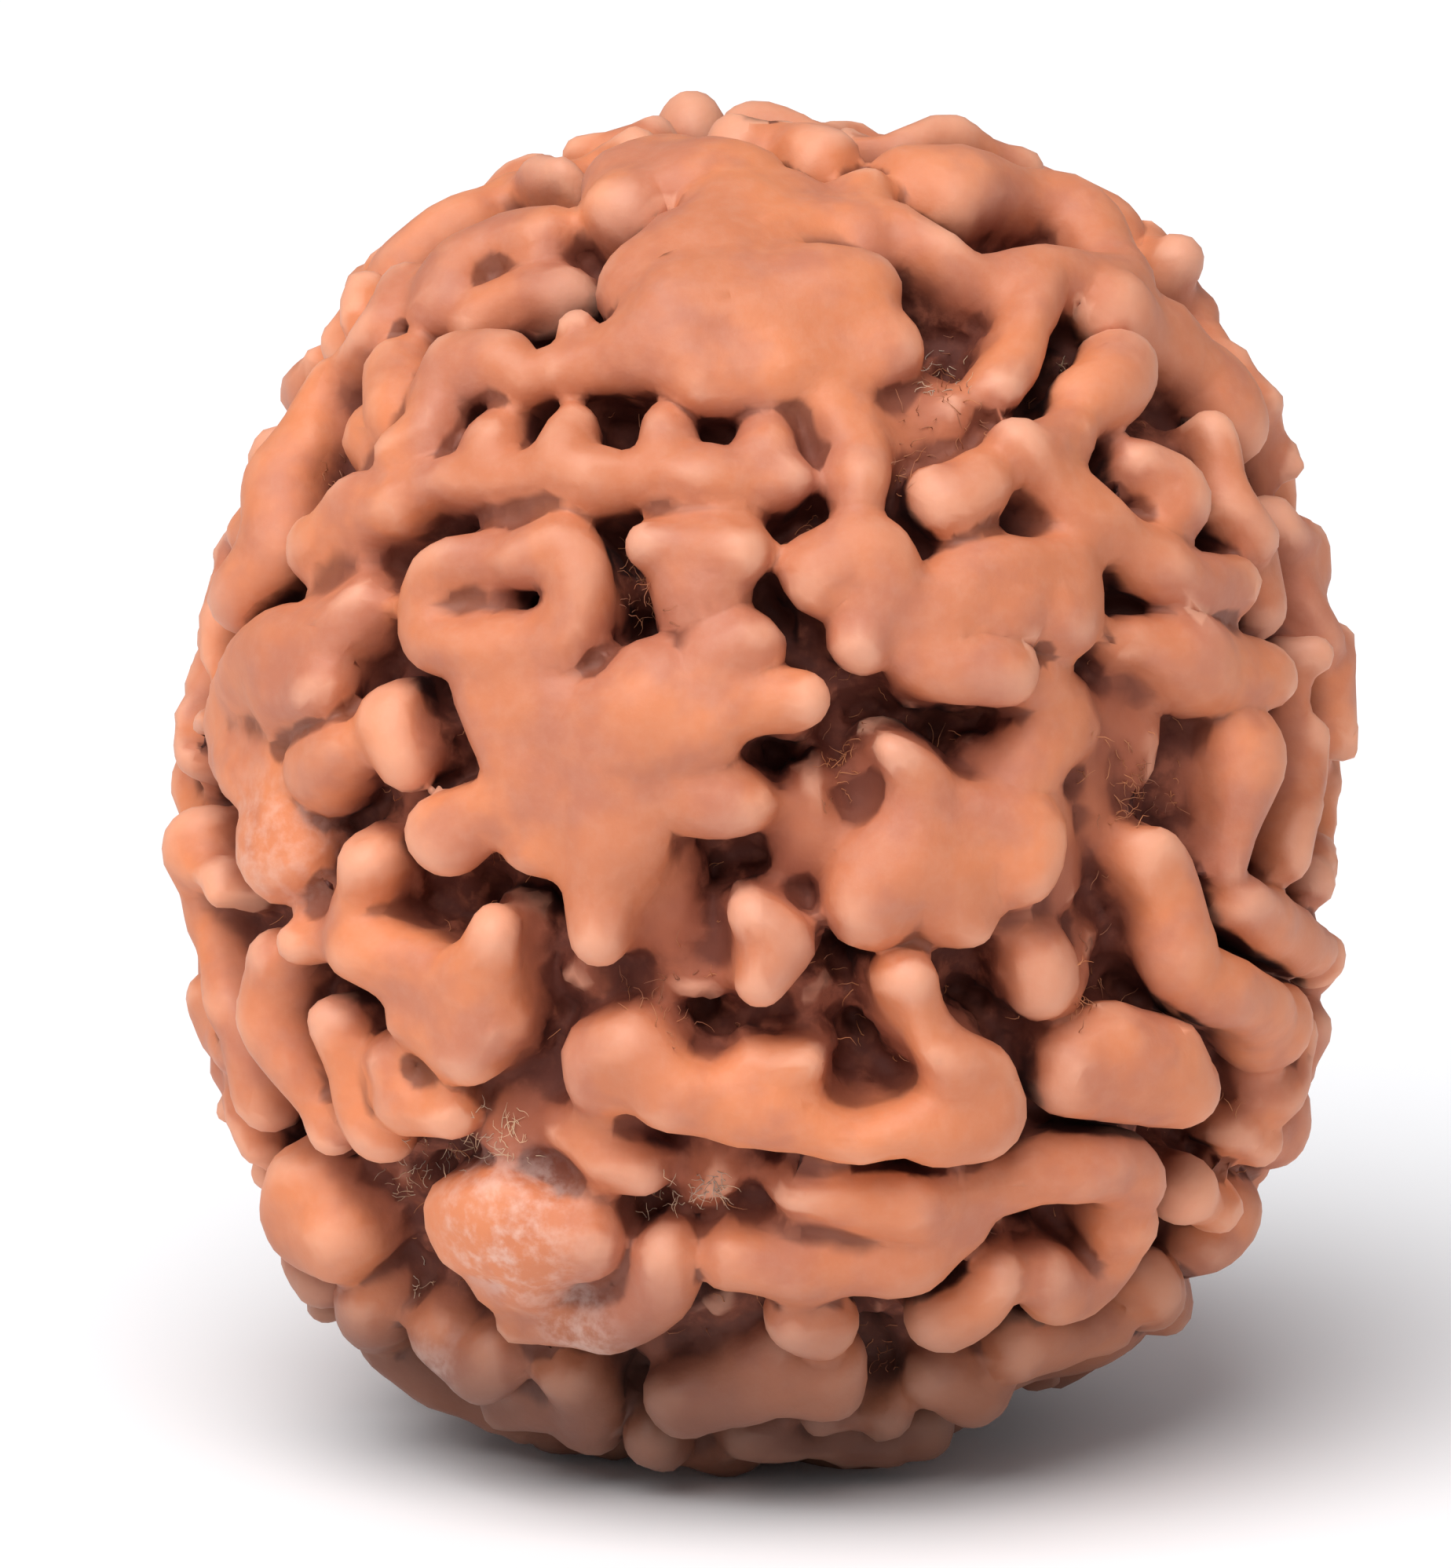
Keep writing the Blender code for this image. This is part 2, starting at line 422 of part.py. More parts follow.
def add_ridge(into, lift, samples):
    """Lay a ridge into a bmesh: a flattened ball for its cap and one for its flanks at each sample."""
    ridge = bmesh.new()
    for place, half_width in samples:
        normal = outward(place)
        turn = normal.to_track_quat("Z", "Y").to_matrix().to_4x4()
        cap_depth = min(CAP_HALF_DEPTH, 1.2 * half_width)
        cap_middle = place + normal * (CAP_HALF_DEPTH - cap_depth + lift)
        flank_middle = cap_middle - normal * FLANK_DEPTH
        foot = half_width + FLANK_SPREAD
        balls = [
            (cap_middle, (half_width, half_width, cap_depth, 1)),
            (flank_middle, (foot, foot, FLANK_HALF_DEPTH, 1)),
        ]
        for middle, half_sizes in balls:
            matrix = Matrix.Translation(middle) @ turn @ Matrix.Diagonal(half_sizes)
            bmesh.ops.create_icosphere(ridge, subdivisions=2, radius=1, matrix=matrix)
    mesh = bpy.data.meshes.new("ridge")
    ridge.to_mesh(mesh)
    ridge.free()
    into.from_mesh(mesh)
    bpy.data.meshes.remove(mesh)


def add_floor(into):
    """The stone under the ridges, whose surface is the floor of the furrows."""
    pits = [(seen_at(across, up), reach * MM) for across, up, reach in FRONT_PITS]
    made = bmesh.ops.create_icosphere(into, subdivisions=6, radius=1)
    for vertex in made["verts"]:
        direction = vertex.co.normalized()
        place = on_caps(direction)
        depth = FLOOR_DEPTH + noise.noise(direction * 9) * FLOOR_WAVES
        for pit, reach in pits:
            depth += PIT_DEPTH * math.exp(-((place - pit).length / reach) ** 2)
        vertex.co = CENTRE + direction * (outer_radius(direction) - depth)


def bead_material():
    material = bpy.data.materials.new("rudraksha")
    material.use_nodes = True
    shader = material.node_tree.nodes["Principled BSDF"]
    shader.inputs["Base Color"].default_value = (0.60, 0.21, 0.11, 1)
    shader.inputs["Roughness"].default_value = 0.55
    shader.inputs["Metallic"].default_value = 0.0
    return material


def add_cutter(name, mesh_maker):
    """A helper object that only cuts the bead."""
    form = bmesh.new()
    mesh_maker(form)
    mesh = bpy.data.meshes.new(name)
    form.to_mesh(mesh)
    form.free()
    cutter = bpy.data.objects.new(name, mesh)
    cutter.hide_render = True
    cutter.display_type = "WIRE"
    cutter.location = AXIS_AT
    bpy.context.collection.objects.link(cutter)
    return cutter


def mouths(form):
    for side in (-1, 1):
        pole = CENTRE + Vector((0, 0, side * HALF_HEIGHT))
        bmesh.ops.create_cone(
            form, cap_ends=True, segments=16, radius1=MOUTH_RADIUS, radius2=MOUTH_RADIUS,
            depth=2 * MOUTH_DEPTH, matrix=Matrix.Translation(pole),
        )


def ground(form):
    size = 4 * HALF_HEIGHT
    bmesh.ops.create_cube(form, size=size, matrix=Matrix.Translation((0, 0, -size / 2)))


def fuse(bead):
    """One closed surface over floor and ridges, smoothed, without the scraps sealed inside it."""
    remesh = bead.modifiers.new("Fuse", "REMESH")
    remesh.mode = "VOXEL"
    remesh.voxel_size = FUSE_GRAIN
    smooth = bead.modifiers.new("Smooth", "SMOOTH")
    smooth.factor = 0.5
    smooth.iterations = 6
    apply_modifiers(bead)
    drop_scraps(bead.data)


def apply_modifiers(thing):
    shown = thing.evaluated_get(bpy.context.evaluated_depsgraph_get())
    thing.data = bpy.data.meshes.new_from_object(shown)
    thing.modifiers.clear()


def drop_scraps(mesh):
    """Keep only the largest connected body of a mesh."""
    form = bmesh.new()
    form.from_mesh(mesh)
    unseen = set(form.verts)
    bodies = []
    while unseen:
        body = []
        edge_of_search = [unseen.pop()]
        while edge_of_search:
            vertex = edge_of_search.pop()
            body.append(vertex)
            for edge in vertex.link_edges:
                other = edge.other_vert(vertex)
                if other in unseen:
                    unseen.remove(other)
                    edge_of_search.append(other)
        bodies.append(body)
    bodies.sort(key=len)
    scraps = [vertex for body in bodies[:-1] for vertex in body]
    bmesh.ops.delete(form, geom=scraps, context="VERTS")
    form.to_mesh(mesh)
    form.free()


def reduce_facets(bead):
    triangles = sum(len(face.vertices) - 2 for face in bead.data.polygons)
    facets = bead.modifiers.new("Facets", "DECIMATE")
    facets.ratio = FACETS / triangles
    facets.use_collapse_triangulate = True


def cut(bead, cutter):
    modifier = bead.modifiers.new(cutter.name, "BOOLEAN")
    modifier.operation = "DIFFERENCE"
    modifier.object = cutter


def main():
    for thing in list(bpy.data.objects):
        bpy.data.objects.remove(thing)
    form = bmesh.new()
    add_floor(form)
    for lift, samples in all_ridges():
        add_ridge(form, lift, samples)
    mesh = bpy.data.meshes.new("bead")
    form.to_mesh(mesh)
    form.free()
    bead = bpy.data.objects.new("bead", mesh)
    bead.location = AXIS_AT
    bead.data.materials.append(bead_material())
    bpy.context.collection.objects.link(bead)
    fuse(bead)
    reduce_facets(bead)
    cut(bead, add_cutter("mouth_cutter", mouths))
    cut(bead, add_cutter("ground_cutter", ground))
    bead.data.shade_smooth()


main()
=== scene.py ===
import math
import random

import bmesh
import bpy
import numpy as np
from mathutils import Matrix, Vector, noise
from mathutils.bvhtree import BVHTree


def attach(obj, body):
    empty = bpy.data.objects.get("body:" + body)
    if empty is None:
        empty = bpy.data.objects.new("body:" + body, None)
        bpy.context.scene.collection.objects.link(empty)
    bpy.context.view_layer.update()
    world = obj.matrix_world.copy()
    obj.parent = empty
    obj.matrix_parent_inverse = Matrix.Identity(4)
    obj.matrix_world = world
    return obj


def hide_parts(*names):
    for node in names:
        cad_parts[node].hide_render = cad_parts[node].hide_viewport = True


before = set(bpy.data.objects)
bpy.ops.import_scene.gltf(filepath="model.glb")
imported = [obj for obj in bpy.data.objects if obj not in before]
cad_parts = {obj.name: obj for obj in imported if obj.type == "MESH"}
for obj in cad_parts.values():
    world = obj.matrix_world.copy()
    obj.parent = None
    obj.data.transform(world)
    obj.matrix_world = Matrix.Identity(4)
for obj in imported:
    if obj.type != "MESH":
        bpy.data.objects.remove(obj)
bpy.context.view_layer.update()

MM = 0.001

# The bead's outer form, over the tops of its ridges, with its axis where the solid bead has it
HALF_WIDTH = 11.0 * MM
HALF_HEIGHT = 12.65 * MM
SQUARENESS = 2.3
CENTRE = Vector((0, 0, 12.25)) * MM
AXIS_AT = Vector((-0.106, 0.106, 0)) * MM

# Swellings and dents of that form: azimuth and elevation in degrees, rise in mm, reach in degrees
SWELLS = [
    (-72, -55, 0.40, 26),
    (-102, 42, -0.55, 30),
    (102, 44, 0.15, 24),
]

# A ridge's rounded cap, and the flanks under it, which draw in a little towards the foot
CAP_HALF_DEPTH = 0.55 * MM
DOME_DEPTH = 0.85 * MM
CAP_FLATNESS = 2.25
FLANK_DRAW = 0.02 * MM
FLANK_DEPTH = 1.5 * MM
FLANK_HALF_DEPTH = 1.4 * MM
FLANK_FLATNESS = 3
STEP_SHARE = 0.4

# A narrow ridge's cap is at most this many half widths deep
CAP_DEPTH_SHARE = 1.3

# The floor of the furrows between the ridges, under the outer form
FLOOR_DEPTH = 1.75 * MM
FLOOR_WAVES = 0.55 * MM
FLOOR_WAVE_COUNT = 9
PIT_DEPTH = 1.0 * MM

# The front's ridges are drawn at their crests, and their sides stand out by this much
FRONT_SWELL = 0.23 * MM

# Ridges of the sides and the back grow by a rule, with sizes drawn between these limits
SEED = 11
GROWTH_STEP = 0.35 * MM
HALF_WIDTHS = (0.36 * MM, 0.9 * MM)
LENGTHS = (0.4 * MM, 6.0 * MM)
LIFTS = (-0.2 * MM, 0.1 * MM)
BEND = 0.4
BULGE_SHARE = 0.28
BULGE_PITCH = 1.1
GAP = 0.22 * MM
GROWTH_TRIES = 12000
JOINING_SHARE = 0.7
FRONT_LIMIT = 0.3

# Low bridges join the grown ridges: how far one reaches, its lift and its half width
BRIDGE_REACH = 2.6 * MM
BRIDGE_LIFTS = (-0.8 * MM, -0.15 * MM)
BRIDGE_HALF_WIDTHS = (0.35 * MM, 0.55 * MM)
BRIDGE_SPOTS = 5
BRIDGES_PER_END = 2

# Seams from pole to pole part the stone's faces: azimuths from the front and sway, in degrees
SEAM_AZIMUTHS = (93, 139, 186, 231, 272)
SEAM_HALF_WIDTH = 0.15 * MM
SEAM_SWAY = 5
SEAM_PITCH = 6

# The pits at the two poles, where the thread canal's mouths are
MOUTH_RADIUS = 0.75 * MM
MOUTH_DEPTH = 3.0 * MM
MOUTH_CLEARANCE = 0.35 * MM
MOUTH_RINGS = 24

# The surface: the grain at which the ridges fuse, and the facets kept
FUSE_GRAIN = 0.14 * MM
SMOOTHING = 4
FACETS = 186000

# How open a spot is: rays sent from just over it, and how far they look
OPEN_RAYS = 14
OPEN_START = 0.03 * MM
OPEN_REACH = 3.0 * MM

# Rounds in which the edges' measure is evened out over neighbours
EDGE_EVENING = 3

# Lumps along the ridges: how much their height and width vary, and over what length
LUMP_RISE = 0.28 * MM
LUMP_SHARE = 0.16
LUMP_LENGTH = 1.5 * MM
LUMP_SHIFT = Vector((7, 7, 7))

# Waves of the ridges' tops, and the crumbs of the furrows' floors: height and wavelength
SWELL_WAVES = (0.36 * MM, 2.8 * MM)
WAVES = (0.17 * MM, 1.2 * MM)
CRUMBS = (0.10 * MM, 0.42 * MM)

# Crumbs set in at a share of the floor's depth and are full a little deeper, with few on the tops
CRUMBS_FROM = 0.45
CRUMBS_OVER = 0.4
CRUMBS_ON_TOPS = 0.12
FINE_CRUMB_PITCH = 2.1
FINE_CRUMB_SHARE = 0.6
FINE_CRUMBS_ON_TOPS = 0.05

# Fibres left in the furrows: their sizes and how they curl
FIBRE_RADIUS = 0.012 * MM
FIBRE_LENGTHS = (0.2 * MM, 0.55 * MM)
FIBRE_STEPS = 6
FIBRE_TAPER = 0.75
FIBRE_LEAN = 0.6
FIBRE_CURL = 0.35
FIBRE_DROOP = 0.12

# Where fibres root: a tuft's least depth in mm, and the number, depth and openness of those scattered about
TUFT_DEPTH = 0.55
SCATTERED = 900
SCATTER_DEPTH = 1.3
SCATTER_OPEN = 0.25

# Tufts of the front, as (across, up, reach in mm, count)
PALE_TUFTS = [
    (-5.6, -6.7, 0.8, 60), (-6.4, -7.3, 0.4, 25), (-4.6, -6.5, 0.5, 25), (-0.9, -7.4, 0.3, 40),
    (-1.6, -7.6, 0.5, 20), (5.6, 7.7, 0.15, 8), (3.3, 7.4, 0.7, 22), (-6.2, -9.1, 0.4, 10),
]
BROWN_TUFTS = [
    (3.5, 7.0, 1.0, 40), (2.6, 5.8, 0.5, 20), (6.8, -0.1, 0.9, 60), (5.9, -3.9, 0.7, 30),
    (1.4, 0.3, 0.6, 24), (-2.2, 3.4, 0.5, 24), (-1.8, -3.9, 0.9, 30), (-7.6, 5.8, 0.6, 16),
    (9.0, -6.3, 0.6, 16), (2.2, -10.6, 0.4, 14),
]

# The eye that the ridges of the front are drawn for, which is the camera's
VIEW_ELEVATION = math.radians(12)
VIEW_DISTANCE = 260 * MM
VIEW_RIGHT = Vector((1, 0, 0))
VIEW_UP = Vector((0, math.sin(VIEW_ELEVATION), math.cos(VIEW_ELEVATION)))
VIEW_BACK = Vector((0, -math.cos(VIEW_ELEVATION), math.sin(VIEW_ELEVATION)))
FRAME_HEIGHT = 28.94 * MM
FRAME_CENTRE = (-0.62 * MM, 0.02 * MM)
SENSOR_HEIGHT = 36
STAGE_RADIUS = 3.0

# Ridges of the front, as (lift, [(across, up, half width), ...]) in mm.
# A fourth number is a spot's own lift.
FRONT_RIDGES = [
    # crown
    (0.0, [(-2.6, 10.6, 0.5), (-2.2, 11.3, 0.85), (-1.4, 11.2, 0.9), (-0.6, 11.1, 0.8)]),
    (0.1, [(-0.2, 11.8, 0.5), (0.5, 11.85, 0.6), (1.2, 11.55, 0.5)]),
    (0.0, [(1.9, 10.3, 0.6), (1.9, 11.0, 0.45)]),
    # great plateau under the crown
    (0.0, [(-2.0, 9.3, 0.75), (-1.0, 9.9, 1.0), (0.3, 10.3, 1.0), (1.5, 10.5, 0.85)]),
    (0.05, [(-1.5, 8.6, 0.9), (-0.3, 8.8, 1.1), (1.0, 9.0, 1.2), (1.9, 9.2, 0.6)]),
    (-0.1, [(-1.0, 7.8, 0.7), (0.2, 7.9, 0.8), (1.2, 8.1, 0.9), (2.3, 8.4, 0.6)]),
    (0.0, [(-0.4, 10.6, 0.8), (0.6, 10.9, 0.7)]),
    (0.0, [(-3.7, 7.7, 0.32), (-3.0, 7.95, 0.38), (-2.2, 8.1, 0.5), (-1.4, 8.0, 0.6)]),
    (-0.1, [(-3.2, 8.0, 0.25), (-3.4, 8.4, 0.2)]),
    # left shoulder
    (0.0, [(-3.6, 11.2, 0.3), (-4.4, 11.05, 0.42), (-5.3, 10.5, 0.42), (-6.1, 9.9, 0.42),
           (-6.8, 9.3, 0.42)]),
    (0.1, [(-4.1, 10.2, 0.7), (-4.9, 10.0, 0.7), (-5.6, 9.5, 0.65), (-5.9, 9.0, 0.5, -0.2)]),
    (-0.6, [(-5.4, 8.9, 0.45), (-4.7, 9.3, 0.5), (-3.9, 9.5, 0.5)]),
    (0.0, [(-6.5, 9.1, 0.35), (-6.9, 8.4, 0.35), (-7.6, 7.8, 0.35)]),
    (-0.05, [(-6.8, 7.75, 0.46), (-6.7, 7.2, 0.4), (-6.7, 6.7, 0.35, -0.3)]),
    (-0.7, [(-7.4, 6.6, 0.6), (-7.0, 5.9, 0.6), (-6.3, 6.0, 0.5)]),
    (0.0, [(-4.3, 7.45, 0.28), (-4.9, 7.75, 0.45), (-5.5, 7.65, 0.52), (-5.9, 7.2, 0.4),
           (-6.1, 6.5, 0.32), (-6.6, 6.0, 0.3)]),
    # comb
    (-0.05, [(-5.6, 5.6, 0.35), (-4.6, 5.65, 0.42), (-3.6, 5.7, 0.42), (-2.6, 5.65, 0.36),
             (-1.5, 5.65, 0.4), (-0.5, 5.65, 0.4), (0.4, 5.7, 0.4)]),
    (0.0, [(-5.1, 5.8, 0.45), (-5.0, 6.3, 0.45, -0.15), (-4.9, 6.65, 0.3, -0.4)]),
    (0.0, [(-3.75, 5.8, 0.5), (-3.65, 6.3, 0.42, -0.1), (-3.6, 6.65, 0.3, -0.35)]),
    (-0.1, [(-1.9, 5.9, 0.42), (-1.8, 6.35, 0.34, -0.1), (-1.8, 6.85, 0.22, -0.35)]),
    (-0.1, [(0.0, 5.8, 0.5), (0.1, 6.25, 0.42, -0.1), (0.15, 6.6, 0.28, -0.4)]),
    # right crown, with its bar and strut
    (0.0, [(2.7, 11.3, 0.5), (3.5, 11.0, 0.7), (4.1, 11.0, 0.6), (4.9, 10.9, 0.6), (5.8, 10.5, 0.6),
           (6.4, 9.9, 0.6), (6.7, 9.4, 0.5)]),
    (-0.05, [(2.5, 10.4, 0.3), (3.3, 9.8, 0.25), (4.1, 9.45, 0.3), (5.0, 9.5, 0.42), (6.0, 9.4, 0.5),
             (6.8, 9.1, 0.5)]),
    (-0.1, [(5.0, 9.2, 0.35), (4.85, 8.6, 0.26), (4.7, 8.0, 0.3), (4.4, 7.4, 0.35)]),
    (-0.1, [(6.4, 8.9, 0.5), (6.9, 8.6, 0.55), (7.6, 8.4, 0.75), (8.3, 7.9, 0.8), (8.7, 7.3, 0.75),
            (9.0, 6.8, 0.5)]),
    (0.0, [(6.75, 7.6, 0.46), (6.4, 7.15, 0.42), (6.1, 7.0, 0.3, -0.2)]),
    # right shoulder
    (-0.1, [(8.35, 6.5, 0.28), (8.6, 5.9, 0.35), (8.8, 5.2, 0.4), (9.1, 4.6, 0.4)]),
    (0.0, [(7.0, 5.9, 0.4), (7.5, 5.6, 0.42), (7.7, 5.1, 0.4)]),
    (0.0, [(9.8, 4.9, 0.5), (10.1, 4.3, 0.65), (10.2, 3.5, 0.65), (10.3, 2.8, 0.5)]),
    (-0.6, [(9.0, 5.6, 0.5), (9.4, 4.4, 0.6), (9.6, 3.4, 0.5)]),
    (0.05, [(4.6, 6.2, 0.3), (5.2, 5.8, 0.52), (5.9, 5.2, 0.52), (6.7, 4.6, 0.48), (7.4, 4.1, 0.42),
            (8.1, 3.75, 0.4), (8.8, 3.65, 0.38)]),
    (0.0, [(5.2, 6.2, 0.35), (5.8, 6.45, 0.34)]),
    (0.15, [(3.5, 5.3, 0.62), (4.0, 5.5, 0.6)]),
    (-0.2, [(1.5, 7.1, 0.5), (1.8, 6.5, 0.42), (1.8, 5.8, 0.38), (1.8, 5.3, 0.3)]),
    # upper left face
    (0.0, [(-7.9, 7.5, 0.4), (-8.2, 7.0, 0.4), (-8.5, 6.3, 0.6), (-8.9, 5.4, 0.75), (-9.1, 4.5, 0.75),
           (-9.5, 3.5, 0.5)]),
    (0.0, [(-6.7, 5.2, 0.48), (-7.4, 5.0, 0.55), (-8.2, 4.4, 0.6)]),
    (-0.2, [(-6.1, 5.5, 0.3)]),
    # left face
    (0.05, [(-7.4, 3.4, 0.5), (-7.9, 3.0, 0.6), (-8.8, 2.3, 0.7), (-9.6, 1.7, 0.7), (-10.0, 1.1, 0.55)]),
    (0.0, [(-8.1, 1.9, 0.5), (-8.9, 1.6, 0.6)]),
    (0.0, [(-9.9, 0.6, 0.7), (-9.3, 0.2, 0.85), (-9.1, -0.6, 0.95), (-8.8, -1.3, 0.8)]),
    (-0.1, [(-8.3, 0.3, 0.6), (-7.6, 0.7, 0.4)]),
    (0.1, [(-6.95, 1.2, 0.55), (-6.7, 0.6, 0.5)]),
    # ring
    (0.05, [(-4.9, 4.3, 0.38), (-5.6, 4.1, 0.42), (-6.2, 3.6, 0.48), (-6.2, 2.8, 0.52),
            (-5.5, 2.5, 0.55), (-4.8, 2.3, 0.55), (-4.0, 2.5, 0.5), (-3.5, 3.0, 0.5), (-3.4, 3.7, 0.42),
            (-3.7, 4.3, 0.42), (-4.3, 4.3, 0.34)]),
    (-0.55, [(-5.6, 3.6, 0.4), (-5.2, 3.5, 0.4)]),
    # plateau left of the middle
    (0.0, [(-5.1, 1.7, 0.75), (-4.7, 0.9, 0.7), (-4.2, 0.2, 0.65)]),
    (0.05, [(-4.2, 1.3, 0.75), (-3.2, 0.9, 0.85), (-2.2, 1.2, 0.9), (-1.2, 1.2, 0.75)]),
    (0.0, [(-4.4, -0.3, 0.6), (-5.2, -0.5, 0.5), (-5.8, -0.9, 0.55)]),
    (0.0, [(-3.6, -0.3, 0.75), (-4.0, -1.0, 0.65)]),
    (0.1, [(-2.8, -0.2, 0.85), (-2.8, -1.2, 0.75), (-2.9, -2.0, 0.62), (-2.9, -2.7, 0.5)]),
    (-0.7, [(-2.1, -1.2, 0.5), (-2.1, -2.0, 0.5, -0.1), (-1.9, -2.8, 0.5, -0.3)]),
    (-0.6, [(1.1, -0.3, 0.45), (1.1, -0.9, 0.5), (0.8, -1.4, 0.4, -0.2)]),
    (-0.65, [(4.6, 0.2, 0.5), (5.2, -0.4, 0.5), (5.6, -1.2, 0.5), (5.7, -2.0, 0.45, -0.1)]),
    (0.0, [(-2.3, 1.9, 0.5), (-1.8, 1.9, 0.5)]),
    (-0.15, [(-1.6, 0.2, 0.8), (-0.8, -0.2, 0.6), (-0.2, -0.4, 0.4)]),
    (0.0, [(-0.8, 2.2, 0.5), (-0.4, 2.5, 0.45)]),
    (0.1, [(-0.5, 1.5, 0.5), (0.2, 1.45, 0.4), (0.65, 1.4, 0.38)]),
    # three-cornered lobe
    (0.1, [(-1.95, 4.45, 0.34), (-1.2, 4.35, 0.45), (-0.45, 4.4, 0.4)]),
    (0.0, [(-1.15, 4.0, 0.72), (-1.05, 3.4, 0.55, -0.15), (-0.95, 2.8, 0.42, -0.3),
           (-0.75, 2.3, 0.5, -0.1)]),
    # double-headed lobe right of the middle
    (0.05, [(1.2, 4.0, 0.58), (1.85, 4.25, 0.62), (2.2, 3.6, 0.65), (1.95, 2.75, 0.45)]),
    (0.0, [(2.8, 3.2, 0.6), (3.6, 3.2, 0.62), (4.4, 3.3, 0.5), (5.0, 3.5, 0.5)]),
    (0.0, [(2.4, 3.3, 0.55), (3.0, 2.9, 0.62), (3.4, 2.3, 0.6), (4.1, 2.1, 0.4), (4.4, 2.05, 0.28)]),
    (0.1, [(3.3, 3.0, 0.5), (3.8, 3.6, 0.55), (4.3, 4.0, 0.45), (5.0, 3.95, 0.5), (5.7, 3.8, 0.7),
           (5.7, 3.3, 0.68)]),
    # right face
    (0.0, [(6.9, 2.6, 0.38), (7.8, 2.3, 0.55), (8.7, 2.1, 0.62), (9.3, 2.1, 0.45)]),
    (-0.45, [(5.3, 1.9, 0.45), (5.9, 1.5, 0.45), (6.3, 1.0, 0.42), (5.7, 0.7, 0.4), (5.0, 0.4, 0.4)]),
    (0.0, [(8.9, 0.6, 0.6), (8.8, -0.2, 0.58), (8.7, -0.9, 0.38), (8.6, -1.4, 0.28)]),
    (-0.4, [(5.9, 1.4, 0.55), (5.4, 0.7, 0.58), (4.8, 0.1, 0.55, -0.1)]),
    (-0.6, [(6.9, 1.3, 0.4), (7.4, 0.9, 0.42), (7.5, 0.2, 0.35, -0.2)]),
    (0.0, [(10.2, 0.8, 0.45), (10.2, 0.1, 0.45), (9.9, -0.6, 0.35), (9.7, -1.3, 0.35)]),
    (0.0, [(8.8, -2.1, 0.32), (9.4, -2.5, 0.42), (10.0, -3.0, 0.42), (10.3, -3.3, 0.38)]),
    (0.0, [(10.2, -1.8, 0.38)]),
    (0.05, [(7.2, -1.2, 0.48), (7.6, -2.0, 0.55), (7.7, -2.8, 0.6), (7.9, -3.4, 0.42),
            (8.6, -3.95, 0.42), (9.2, -4.3, 0.5), (9.5, -4.4, 0.45)]),
    # plateau right of the middle
    (0.05, [(2.4, 0.55, 0.42), (2.9, 0.0, 0.7), (2.9, -0.8, 0.85), (2.5, -1.6, 0.95), (2.0, -2.1, 0.7)]),
    (-0.05, [(3.7, -0.6, 0.65), (4.3, -0.9, 0.75), (4.9, -1.2, 0.65), (4.9, -1.7, 0.55)]),
    (0.0, [(3.5, -1.7, 0.85), (3.6, -2.3, 0.6), (3.9, -2.6, 0.42)]),
    (0.1, [(-0.1, -2.4, 0.45), (0.2, -2.9, 0.68), (0.0, -3.5, 0.55)]),
    (-0.2, [(5.2, -2.9, 0.45, -0.2), (5.3, -3.3, 0.55), (5.3, -3.8, 0.42)]),
    (0.15, [(6.0, -5.3, 0.62), (6.6, -5.2, 0.75), (7.3, -5.3, 0.8), (7.8, -5.5, 0.6)]),
    # left hook
    (0.05, [(-7.3, -1.4, 0.42), (-7.5, -2.1, 0.42), (-7.6, -2.8, 0.62), (-6.9, -3.3, 0.55),
            (-6.2, -3.7, 0.6), (-5.6, -4.2, 0.7), (-5.1, -4.4, 0.68)]),
    (0.0, [(-8.4, -2.85, 0.3), (-7.9, -2.9, 0.4), (-7.4, -3.2, 0.5)]),
    (0.05, [(-6.4, -4.3, 0.45), (-5.7, -4.7, 0.5), (-5.2, -4.8, 0.45)]),
    (0.1, [(-5.2, -3.8, 0.65), (-4.9, -3.2, 0.5), (-4.75, -2.7, 0.42)]),
    # lower left strips
    (0.0, [(-10.3, -1.0, 0.4), (-10.3, -2.2, 0.45), (-10.1, -3.2, 0.45), (-9.8, -4.2, 0.42),
           (-9.5, -5.2, 0.4), (-9.3, -5.9, 0.38)]),
    (0.0, [(-8.9, -3.3, 0.4), (-9.0, -4.1, 0.38), (-8.7, -5.0, 0.36), (-8.3, -5.9, 0.32),
           (-8.0, -6.4, 0.3)]),
    (0.0, [(-7.9, -4.4, 0.36), (-7.7, -5.2, 0.32), (-7.5, -5.9, 0.36), (-7.2, -6.5, 0.38)]),
    (-0.1, [(-6.9, -5.2, 0.4), (-6.6, -5.8, 0.48), (-5.8, -6.0, 0.38)]),
    # great lower lobe
    (0.2, [(-2.9, -5.4, 0.8), (-2.3, -5.1, 0.8), (-1.9, -5.6, 0.7), (-1.0, -5.8, 0.5), (-0.1, -5.9, 0.7),
           (0.8, -6.15, 0.62), (1.7, -6.35, 0.42), (2.6, -6.2, 0.3), (3.4, -6.2, 0.5),
           (4.0, -6.0, 0.72)]),
    (0.15, [(2.7, -3.7, 0.46), (3.0, -4.4, 0.5), (3.5, -5.0, 0.5), (3.9, -5.5, 0.65)]),
    (0.0, [(0.0, -5.3, 0.45), (0.8, -5.3, 0.45)]),
    (-0.25, [(-3.7, -6.6, 0.4), (-3.0, -7.0, 0.5), (-2.3, -7.3, 0.42)]),
    # knobs of the lower left
    (0.1, [(-8.3, -7.5, 0.8), (-8.2, -8.0, 0.9), (-7.8, -8.2, 0.8)]),
    (0.05, [(-5.4, -8.3, 0.8), (-4.5, -8.2, 1.05, 0.1), (-3.6, -8.4, 0.9)]),
    (0.0, [(-4.9, -9.2, 0.6), (-4.2, -9.2, 0.6)]),
